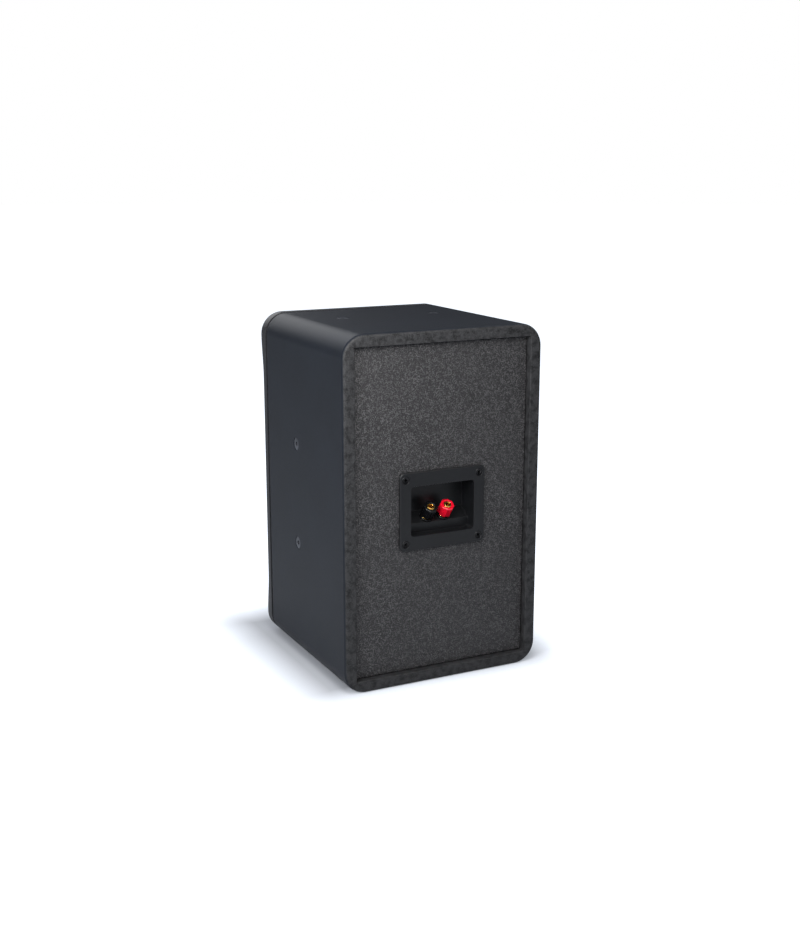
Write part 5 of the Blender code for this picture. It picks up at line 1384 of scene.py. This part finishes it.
def make_post(colour_name, settings):
    """One binding post: its cap with the insert, its collar, its bushing and its hollow stud."""
    foot, axis, matrix = post_frame(colour_name)
    body = f"cap_{colour_name}"
    low, high, radius = span(f"post_cap_{colour_name}", foot, axis)
    insert_low, insert_high, insert_radius = span(f"post_insert_{colour_name}", foot, axis)
    cap = make_cap(f"cap_{colour_name}", settings, low, high, radius, insert_radius + 0.0001, matrix)
    place(cap, body, f"cap_{colour_name}", finish_of(body), f"post_cap_{colour_name}")

    bore = settings.insert_bore
    lip = 0.0002
    profile = [(bore, insert_low), (insert_radius, insert_low), (insert_radius, insert_high - lip)]
    profile += arc((insert_radius - lip, insert_high - lip), lip, 0, 90, 4)[1:]
    profile += [(bore + lip / 4, insert_high), (bore, insert_high - lip / 4)]
    insert = turned(f"insert_{colour_name}", profile, 64, matrix)
    place(insert, body, "gold_plate", finish_of("gold"), f"post_insert_{colour_name}")

    collar_low, collar_high, collar_radius = span(f"post_collar_{colour_name}", foot, axis)
    profile = ring(0.0030, collar_radius, collar_low, collar_high, 0.00015)
    collar = turned(f"collar_{colour_name}", profile, 64, matrix)
    place(collar, f"collar_{colour_name}", "gold_plate", finish_of("gold"), f"post_collar_{colour_name}")

    flange_low, flange_high, flange_radius = span(f"post_bushing_{colour_name}", foot, axis)
    neck, seat = 0.0038, 0.0003
    profile = [(0.003, flange_low), (neck, flange_low), (neck, seat), (flange_radius, seat)]
    profile += arc((flange_radius - 0.0006, flange_high - 0.0006), 0.0006, 0, 90, 4)
    profile += [(0.003, flange_high)]
    bushing = turned(f"bushing_{colour_name}", profile, 64, matrix)
    place(bushing, "cabinet", "cap_black", finish_of("cap_black"), f"post_bushing_{colour_name}")

    stud_low, stud_high, stud_radius = span(f"post_stud_{colour_name}", foot, axis)
    chamfer = 0.00012
    socket = settings.socket_radius
    profile = threaded_tail(stud_radius, stud_low, flange_low)
    profile += [(stud_radius, stud_high - chamfer), (stud_radius - chamfer, stud_high)]
    profile += [(socket + chamfer / 2, stud_high), (socket, stud_high - chamfer)]
    profile += [(socket, stud_high - settings.socket_depth), (0, stud_high - settings.socket_depth)]
    stud = turned(f"stud_{colour_name}", profile, 48, matrix, closed=False, angle=50)
    place(stud, "cabinet", "gold_plate", finish_of("gold"), f"post_stud_{colour_name}")


def threaded_tail(radius, low, high):
    """Profile of a stud's end with thread ridges, from its tip on the axis up to high."""
    pitch, depth = 0.0008, 0.0003
    profile = [(0, low), (radius - 2 * depth, low)]
    along = low + depth
    while along + pitch < high:
        profile += [(radius, along + pitch * 0.4), (radius, along + pitch * 0.5)]
        profile += [(radius - depth, along + pitch)]
        along += pitch
    return profile


class SPEAKER_OT_make_posts(bpy.types.Operator):
    """Make both binding posts: caps, inserts, collars, bushings and studs"""

    bl_idname = "speaker.make_posts"
    bl_label = "Make binding posts"

    def execute(self, context):
        for colour_name in ("black", "red"):
            make_post(colour_name, context.scene.speaker_posts)
        return {"FINISHED"}


# ---------------------------------------------------------------- woofer
def driver_matrix(node):
    """Takes the Y axis to a driver's axis, its zero to the baffle's front face."""
    middle = middle_of(node)
    return Matrix.Translation((middle.x, FRONT_Y, middle.z))


def drive_screws(driver, count, screw, depth, spin):
    """A driver's screws, each turned on by spin from the one before, because each was driven on its own."""
    nodes = [f"{driver}_screw_{number}" for number in range(1, count + 1)]
    places = [(middle.x, FRONT_Y + depth, middle.z) for middle in map(middle_of, nodes)]
    turns = [(0, spin * number, 0) for number in range(count)]
    screws = repeated(f"{driver}_screws", screw, places, turns, finish_of("black_steel"))
    place(screws, "cabinet", "black_screw_steel", None, *nodes)


def blend_by_radius(obj):
    """Bakes a ring's placement into its mesh."""
    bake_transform(obj)


def cone_depth(radius, edge_radius, settings):
    """Depth of the cone's front face: a shallow curve from its edge to its neck."""
    t = (edge_radius - radius) / (edge_radius - settings.former_radius)
    return settings.cone_front + (settings.cone_neck - settings.cone_front) * (0.8 * t + 0.2 * t * t)


def make_basket(settings, matrix):
    """The cast basket: a flange with a raised bead, windows between spokes, and a seat for the motor."""
    low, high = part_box("woofer_basket")
    front, back = low.y - FRONT_Y, high.y - FRONT_Y
    radius = settings.radius
    lip = radius - settings.surround_inset + 0.0004
    bead = 0.0006
    seat = 0.0041
    wall = 0.0025
    ledge, ledge_outer, ledge_inner = 0.0314, 0.0501, 0.0445
    profile = [(lip, front + bead)]
    profile += arc((lip + 0.0016, front + bead), bead, 180, 270, 3)
    profile += [(radius - 0.0024, front), (radius - 0.0006, front + 0.0002), (radius, front + 0.0009)]
    profile += [
        (radius, front + 0.004),
        (lip + 0.0004, front + 0.004),
        (ledge_outer + wall, ledge),
        (ledge_inner + wall, ledge + wall),
        (ledge_inner + wall, back),
        (0.020, back),
        (0.020, back - wall),
        (ledge_inner, back - wall),
        (ledge_inner, ledge),
        (ledge_outer, ledge),
        (0.0665, 0.0075),
        (0.0665, seat),
        (lip, seat),
    ]
    bm = bmesh.new()
    lathe(bm, profile, 96)
    basket = as_object("woofer_casting", bm, matrix)
    bm = bmesh.new()
    windows = 6
    spread = 19
    for i in range(windows):
        turn = 360 * i / windows
        wedge = arc((0, 0), 0.042, turn - spread, turn + spread, 6)
        wedge += arc((0, 0), 0.093, turn + spread, turn - spread, 6)
        outline = [(x + matrix.translation.x, z + matrix.translation.z) for x, z in wedge]
        prism(bm, outline, FRONT_Y + 0.0095, FRONT_Y + 0.0275)
    for number in range(1, 5):
        hole = middle_of(f"woofer_screw_{number}")
        outline = [(hole.x + u, hole.z + v) for u, v in arc((0, 0), 0.0024, 0, 360, 20)[:-1]]
        prism(bm, outline, FRONT_Y - 0.01, FRONT_Y + 0.0095)
    cut(basket, bm)
    shade(basket, 35)
    place(basket, "cabinet", "basket_coat", finish_of("basket"), "woofer_basket")


def make_surround(settings, matrix):
    """A half roll of rubber between its glued edges."""
    edge = settings.radius - settings.surround_inset
    outer = edge - settings.glue_width
    inner = outer - settings.roll_width
    middle, radius = (inner + outer) / 2, settings.roll_width / 2
    seat, thick = 0.003, 0.0008
    steps = 16
    front = [(inner - 0.0045, seat)]
    front += [(middle + radius * math.cos(a), seat - radius * math.sin(a)) for a in half_turn(steps)]
    front += [(edge - 0.0003, seat), (edge, seat + 0.0003)]
    back = [(inner - 0.0045, seat + thick)]
    shrunk = radius - thick
    back += [(middle + shrunk * math.cos(a), seat + thick - shrunk * math.sin(a)) for a in half_turn(steps)]
    back += [(edge, seat + thick)]
    surround = turned("woofer_roll", front + back[::-1], 128, matrix, angle=50)
    surround.data.materials.append(finish_of("rubber"))
    blend_by_radius(surround)
    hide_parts("woofer_surround")


def half_turn(steps):
    """Angles from pi to 0, for a half roll drawn from its inner edge outwards."""
    return [math.pi * (1 - step / steps) for step in range(steps + 1)]


def make_cone(settings, matrix):
    """The cone with three pressed ribs, its dust cap, and the coil's former."""
    edge = settings.radius - settings.surround_inset - settings.glue_width - settings.roll_width - 0.0015
    neck = settings.former_radius + 0.0003
    steps = 60
    rib_height, ribs = 0.00035, 3
    front = []
    for step in range(steps + 1):
        radius = edge - (edge - neck) * step / steps
        wave = 0.0
        share = (radius - settings.dust_cap_radius) / (edge - settings.dust_cap_radius)
        if 0.15 < share < 0.85:
            wave = rib_height * max(0.0, math.cos(FULL_TURN * ribs * (share - 0.15) / 0.7 + math.pi)) ** 3
        front.append((radius, cone_depth(radius, edge, settings) - wave))
    back = [(radius, depth + 0.0009) for radius, depth in front]
    cone = turned("woofer_paper_cone", front + back[::-1], 128, matrix, angle=60)
    place(cone, "woofer_moving", "coated_paper", finish_of("paper"), "woofer_cone")
    foot = cone_depth(settings.dust_cap_radius, edge, settings) - 0.0013
    outer, inner = [], []
    steps = 14
    for step in range(steps + 1):
        t = step / steps
        rise = settings.dust_cap_rise * (1 - t * t)
        outer.append((settings.dust_cap_radius * t, foot - rise))
        inner.append((settings.dust_cap_radius * t, foot - rise + 0.0009))
    cap = turned("woofer_cap", outer + inner[::-1], 96, matrix, closed=False, angle=60)
    place(cap, "woofer_moving", "coated_paper", finish_of("paper"), "woofer_dust_cap")
    for node, radius, thick, slot, key in (
        ("woofer_coil_former", settings.former_radius, 0.0005, "coil_former", "former"),
        ("woofer_voice_coil", settings.former_radius + 0.0009, 0.0006, "enamelled_copper", "winding"),
    ):
        low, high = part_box(node)
        profile = ring(radius - thick, radius, low.y - FRONT_Y, high.y - FRONT_Y, 0.0001)
        tube = turned(f"{node}_tube", profile, 72, matrix)
        place(tube, "woofer_moving", slot, finish_of(key), node)


def make_spider(settings, matrix):
    """The corrugated cotton disc from the coil's former to the basket's ledge."""
    inner, flat, outer = settings.former_radius + 0.0003, 0.0440, 0.0495
    depth, height, thick = 0.0305, 0.0012, 0.0006
    waves, steps = 5, 60
    front = []
    for step in range(steps + 1):
        t = step / steps
        wave = height * (0.5 - 0.5 * math.cos(FULL_TURN * waves * t))
        front.append((inner + (flat - inner) * t, depth + wave))
    front.append((outer, depth))
    back = [(radius, along + thick) for radius, along in front]
    spider = turned("woofer_corrugated_disc", front + back[::-1], 96, matrix, angle=60)
    spider.data.materials.append(finish_of("spider"))
    blend_by_radius(spider)
    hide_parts("woofer_spider")


class SPEAKER_OT_make_woofer(bpy.types.Operator):
    """Make the woofer: basket, surround, cone, cap, coil, spider and screws"""

    bl_idname = "speaker.make_woofer"
    bl_label = "Make woofer"

    def execute(self, context):
        settings = context.scene.speaker_woofer
        matrix = driver_matrix("woofer_basket")
        make_basket(settings, matrix)
        make_surround(settings, matrix)
        make_cone(settings, matrix)
        make_spider(settings, matrix)
        screw = cross_screw(0.0040, 0.0020, 0.0125, 0.0, 0.0015)
        drive_screws("woofer", 4, screw, 0.0007, 0.7)
        refinish(
            (
                ("foam", ("woofer_gasket",)),
                ("ferrite", ("woofer_magnet",)),
                ("zinc", ("woofer_top_plate", "woofer_yoke")),
            )
        )
        return {"FINISHED"}


# ---------------------------------------------------------------- tweeter
def make_faceplate(settings, matrix):
    """The tweeter's plate: a rounded edge, a shallow flare to the throat and countersunk screw seats."""
    low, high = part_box("tweeter_faceplate")
    front, back = low.y - FRONT_Y, high.y - FRONT_Y
    radius, throat, horn = settings.radius, settings.throat_radius, settings.horn_radius
    edge = 0.0008
    profile = [(radius, back)]
    profile += arc((radius - edge, front + edge), edge, 0, -90, 4)
    profile += [(horn + 0.0012, front), (horn + 0.0006, front + 0.00005)]
    steps = 12
    depth = back - front - 0.0008
    for step in range(steps + 1):
        t = step / steps
        profile.append((horn + (throat - horn) * t, front + 0.0002 + (depth - 0.0002) * t * t))
    profile.append((throat, back))
    bm = bmesh.new()
    lathe(bm, profile, 128)
    plate = as_object("tweeter_plate", bm, matrix)
    bm = bmesh.new()
    head, shank = 0.0036, 0.002
    sink = front + 0.0003
    seat = [(0, -0.005), (head, -0.005), (head, sink), (shank, sink + head - shank), (shank, 0.01), (0, 0.01)]
    for number in range(1, 4):
        middle = middle_of(f"tweeter_screw_{number}")
        one = bmesh.new()
        lathe(one, seat, 40, closed=False)
        append_mesh(bm, one, Matrix.Translation((middle.x, FRONT_Y, middle.z)))
    cut(plate, bm)
    shade(plate, 35)
    place(plate, "cabinet", "moulded_abs", finish_of("frame"), "tweeter_faceplate")


def make_dome(settings, matrix):
    """The soft dome and its roll."""
    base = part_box("tweeter_faceplate")[1].y - FRONT_Y + 0.0003
    dome = settings.dome_radius
    outer = []
    steps = 16
    for step in range(steps + 1):
        t = step / steps
        outer.append((dome * t, base - settings.dome_rise * (1 - t * t)))
    roll = (settings.throat_radius - 0.001 - dome) / 2
    for angle in half_turn(8)[1:]:
        outer.append((dome + roll + roll * math.cos(angle), base - roll * math.sin(angle)))
    outer.append((settings.throat_radius + 0.0014, base + 0.0001))
    inner = [(radius, along + 0.0003) for radius, along in outer]
    piece = turned("tweeter_dome", outer + inner[::-1], 96, matrix, closed=False, angle=60)
    piece.data.materials.append(finish_of("silk"))
    blend_by_radius(piece)
    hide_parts("tweeter_diaphragm")


class SPEAKER_OT_make_tweeter(bpy.types.Operator):
    """Make the tweeter: faceplate, soft dome and screws"""

    bl_idname = "speaker.make_tweeter"
    bl_label = "Make tweeter"

    def execute(self, context):
        settings = context.scene.speaker_tweeter
        matrix = driver_matrix("tweeter_faceplate")
        make_faceplate(settings, matrix)
        make_dome(settings, matrix)
        screw = cross_screw(0.0034, 0.0017, 0.0125, 0.0003)
        drive_screws("tweeter", 3, screw, 0.0005, 0.9)
        refinish(
            (
                ("ferrite", ("tweeter_magnet",)),
                ("zinc", ("tweeter_top_plate", "tweeter_yoke")),
                ("winding", ("tweeter_voice_coil",)),
            )
        )
        return {"FINISHED"}


# ---------------------------------------------------------------- inside the cabinet
def make_wadding():
    """A loose pad of fibre: a rounded block that swells and dips unevenly."""
    low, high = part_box("acoustic_wadding")
    room = Vector((0.006,) * 3)
    bm = bmesh.new()
    block(bm, low + room, high - room)
    bmesh.ops.subdivide_edges(bm, edges=bm.edges, cuts=5, use_grid_fill=True)
    pad = as_object("fibre_pad", bm)
    smooth = pad.modifiers.new("smooth", "SUBSURF")
    smooth.levels = smooth.render_levels = 2
    settle(pad)
    for vert in pad.data.vertices:
        lump = noise.noise(vert.co / 0.022)
        fluff = noise.noise(vert.co / 0.006)
        vert.co += vert.normal * (0.0028 * lump + 0.0008 * fluff)
    shade(pad, 180, weighted=False)
    place(pad, "cabinet", "polyester_wadding", finish_of("fibre"), "acoustic_wadding")


def make_components():
    """The crossover's wound inductor and its capacitor."""
    low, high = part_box("crossover_inductor")
    middle = middle_of("crossover_inductor")
    radius, bore = (high.x - low.x) / 2, 0.009
    wire = 0.0011
    layers = max(1, round((high.z - low.z) / wire))
    pitch = (high.z - low.z) / layers
    outer = []
    for layer in range(layers):
        base = low.z + pitch * layer
        for angle in (150, 90, 30):
            bulge = wire / 2 * math.sin(math.radians(angle))
            outer.append((radius - wire / 2 + bulge, base + pitch * (180 - angle) / 180))
    profile = [(bore, low.z), *outer, (bore, high.z)]
    upright = Matrix.Translation((middle.x, middle.y, 0)) @ Matrix.Rotation(QUARTER_TURN, 4, "X")
    coil = turned("crossover_coil", profile, 72, upright, angle=80)
    place(coil, "cabinet", "enamelled_copper", finish_of("inductor"), "crossover_inductor")
    low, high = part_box("crossover_capacitor")
    radius, half = (high.x - low.x) / 2, (high.y - low.y) / 2
    edge, dish = 0.0014, 0.0004
    profile = [(0, -half + dish), (radius - 2 * edge, -half + dish), (radius - edge, -half)]
    profile += arc((radius - edge, -half + edge), edge, -90, 0, 4)
    profile += arc((radius - edge, half - edge), edge, 0, 90, 4)
    profile += [(radius - 2 * edge, half - dish), (0, half - dish)]
    matrix = Matrix.Translation(middle_of("crossover_capacitor"))
    body = turned("crossover_film_capacitor", profile, 48, matrix, closed=False)
    place(body, "cabinet", "capacitor_film", finish_of("film"), "crossover_capacitor")


class SPEAKER_OT_make_inside(bpy.types.Operator):
    """Make what the cabinet holds, and finish the nodes that are shown as they are"""

    bl_idname = "speaker.make_inside"
    bl_label = "Make inside"

    def execute(self, context):
        make_wadding()
        make_components()
        refinish(
            (
                ("board", ("crossover_board",)),
                ("foam", ("cup_gasket",)),
                ("zinc", ("post_nut_black", "post_nut_red")),
                ("jacket", ("input_cable", "woofer_cable", "tweeter_cable")),
            )
        )
        return {"FINISHED"}


# ---------------------------------------------------------------- stage
def add_softbox(name, watts, rgb, position, size, target=(0.0, 0.0, 0.17)):
    """A square area light at a position, aimed at a target."""
    data = bpy.data.lights.new(name, "AREA")
    data.energy = watts
    data.color = rgb
    data.size = size
    light = bpy.data.objects.new(name, data)
    bpy.context.scene.collection.objects.link(light)
    light.location = position
    light.rotation_euler = (Vector(target) - Vector(position)).to_track_quat("-Z", "Y").to_euler()


def make_floor(settings):
    """A plain round floor that glows, least round the object's foot, where the low glow is a painted shadow.
    """
    bm = bmesh.new()
    outline = arc((0, 0), settings.floor_radius, 0, 360, 96)[:-1]
    bm.faces.new([bm.verts.new((u, v, -0.0002)) for u, v in outline])
    floor = as_object("studio_floor", bm)
    # back-lit white acrylic sweep: even and matt, its glow kept low round the object as a painted shadow,
    # under which the lamps' own shadows also show
    material, tree, shader, coordinates = new_finish("backlit_white_acrylic", Roughness=0.7)
    shader.inputs["Base Color"].default_value = (*settings.floor_colour, 1.0)
    shader.inputs["Specular IOR Level"].default_value = 0.1
    # how far a point lies from the footprint, which is moved a little away from the key light so that the
    # painted shadow lies away from it
    half = SHELL_HIGH.x
    spot = add(tree, VECTOR_MATH, (coordinates, (0.006, -0.024, 0.0)), operation="SUBTRACT")
    size = add(tree, VECTOR_MATH, (spot,), operation="ABSOLUTE")
    past = add(tree, VECTOR_MATH, (size, (half, half, 0.0)), operation="SUBTRACT")
    kept = add(tree, VECTOR_MATH, (past, (0.0, 0.0, 0.0)), operation="MAXIMUM")
    away = add(tree, VECTOR_MATH, (kept,), operation="LENGTH").outputs["Value"]
    # the glow rises from the footprint outwards: its low part round the foot is a painted shadow
    glow = add(tree, RANGE, (away, 0.0, settings.shadow_reach, settings.near_glow, settings.far_glow))
    # the camera sees the whole glow; the object sees a part of it, as black pieces do in a tent
    path = add(tree, "ShaderNodeLightPath")
    share = add(tree, RANGE, (path.outputs["Is Camera Ray"], 0.0, 1.0, 0.3, 1.0))
    seen = add(tree, MATH, (glow, share), operation="MULTIPLY")
    # the glow is bluish, which tints the painted shadow
    shader.inputs["Emission Color"].default_value = (0.88, 0.93, 1.0, 1.0)
    tree.links.new(seen.outputs[0], shader.inputs["Emission Strength"])
    floor.data.materials.append(material)


def make_world():
    """White behind the object, and a dim studio for light and reflections."""
    world = bpy.data.worlds.new("studio")
    world.use_nodes = True
    tree = world.node_tree
    tree.nodes.clear()
    seen = add(tree, "ShaderNodeBackground", {"Color": (1, 1, 1), "Strength": 1.0})
    coordinates = add(tree, "ShaderNodeTexCoord").outputs["Generated"]
    direction = add(tree, "ShaderNodeSeparateXYZ", (coordinates,))
    rise = add(tree, RANGE, (direction.outputs["Z"], 0.0, 0.9, 0, 1))
    dark, pale = linear("#33363c"), linear("#a9aeb8")
    dim = add(tree, "ShaderNodeMix", {0: rise, 6: dark, 7: pale}, data_type="RGBA")
    room = add(tree, "ShaderNodeBackground", {"Color": dim.outputs[2], "Strength": 0.55})
    path = add(tree, "ShaderNodeLightPath")
    mix = add(tree, "ShaderNodeMixShader", (path.outputs["Is Camera Ray"], room, seen))
    add(tree, "ShaderNodeOutputWorld", {"Surface": mix})
    bpy.context.scene.world = world


class SPEAKER_OT_make_stage(bpy.types.Operator):
    """Make the floor, the studio lights and the camera"""

    bl_idname = "speaker.make_stage"
    bl_label = "Make stage"

    def execute(self, context):
        settings = context.scene.speaker_stage
        make_floor(settings)
        make_world()
        add_softbox("overhead_softbox", 13.5, (1.0, 0.985, 0.97), (0.1, 0.75, 1.35), 2.0)
        add_softbox("left_softbox", 8.4, (0.95, 0.975, 1.0), (0.72, 0.5, 0.52), 0.4)
        add_softbox("panel_softbox", 1.9, (1.0, 0.99, 0.98), (0.17, 0.36, 0.5), 0.22, (0.05, 0.1, 0.27))
        add_softbox("right_softbox", 5.0, (0.94, 0.97, 1.0), (-1.1, -0.3, 0.85), 0.8)
        add_softbox("front_softbox", 6.0, (0.97, 0.98, 1.0), (0.1, -1.4, 0.9), 0.9)
        data = bpy.data.cameras.new("camera")
        data.lens = settings.lens
        data.sensor_width = 36.0
        data.clip_end = 60.0
        camera = bpy.data.objects.new("camera", data)
        context.scene.collection.objects.link(camera)
        camera.location = (0.5684, 1.14525, 0.4899)
        looked_at = Vector((-0.000205, 0.00725, 0.183543))
        camera.rotation_euler = (looked_at - camera.location).to_track_quat("-Z", "Y").to_euler()
        context.scene.camera = camera
        context.scene.view_settings.view_transform = "Standard"
        return {"FINISHED"}


# ---------------------------------------------------------------- panel and running
MAKERS = (
    SPEAKER_OT_make_cabinet,
    SPEAKER_OT_make_grille,
    SPEAKER_OT_make_cup,
    SPEAKER_OT_make_posts,
    SPEAKER_OT_make_woofer,
    SPEAKER_OT_make_tweeter,
    SPEAKER_OT_make_inside,
    SPEAKER_OT_make_stage,
)

SETTINGS = {
    "speaker_cabinet": CabinetSettings,
    "speaker_grille": GrilleSettings,
    "speaker_cup": CupSettings,
    "speaker_posts": PostSettings,
    "speaker_woofer": WooferSettings,
    "speaker_tweeter": TweeterSettings,
    "speaker_stage": StageSettings,
}


class SPEAKER_PT_panel(bpy.types.Panel):
    """Lists the operators and their settings"""

    bl_label = "Loudspeaker"
    bl_space_type = "VIEW_3D"
    bl_region_type = "UI"
    bl_category = "Loudspeaker"

    def draw(self, context):
        for maker in MAKERS:
            self.layout.operator(maker.bl_idname)
        for name, group in SETTINGS.items():
            box = self.layout.box()
            box.label(text=group.__name__)
            for key in group.__annotations__:
                box.prop(getattr(context.scene, name), key)


def register():
    for group in SETTINGS.values():
        bpy.utils.register_class(group)
    for name, group in SETTINGS.items():
        setattr(bpy.types.Scene, name, PointerProperty(type=group))
    for maker in MAKERS:
        bpy.utils.register_class(maker)
    bpy.utils.register_class(SPEAKER_PT_panel)


def unregister():
    bpy.utils.unregister_class(SPEAKER_PT_panel)
    for maker in reversed(MAKERS):
        bpy.utils.unregister_class(maker)
    for name in SETTINGS:
        delattr(bpy.types.Scene, name)
    for group in SETTINGS.values():
        bpy.utils.unregister_class(group)


def main():
    """Builds the loudspeaker piece by piece."""
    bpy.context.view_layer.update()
    register()
    for maker in MAKERS:
        group, name = maker.bl_idname.split(".")
        getattr(getattr(bpy.ops, group), name)()


if __name__ == "__main__":
    main()
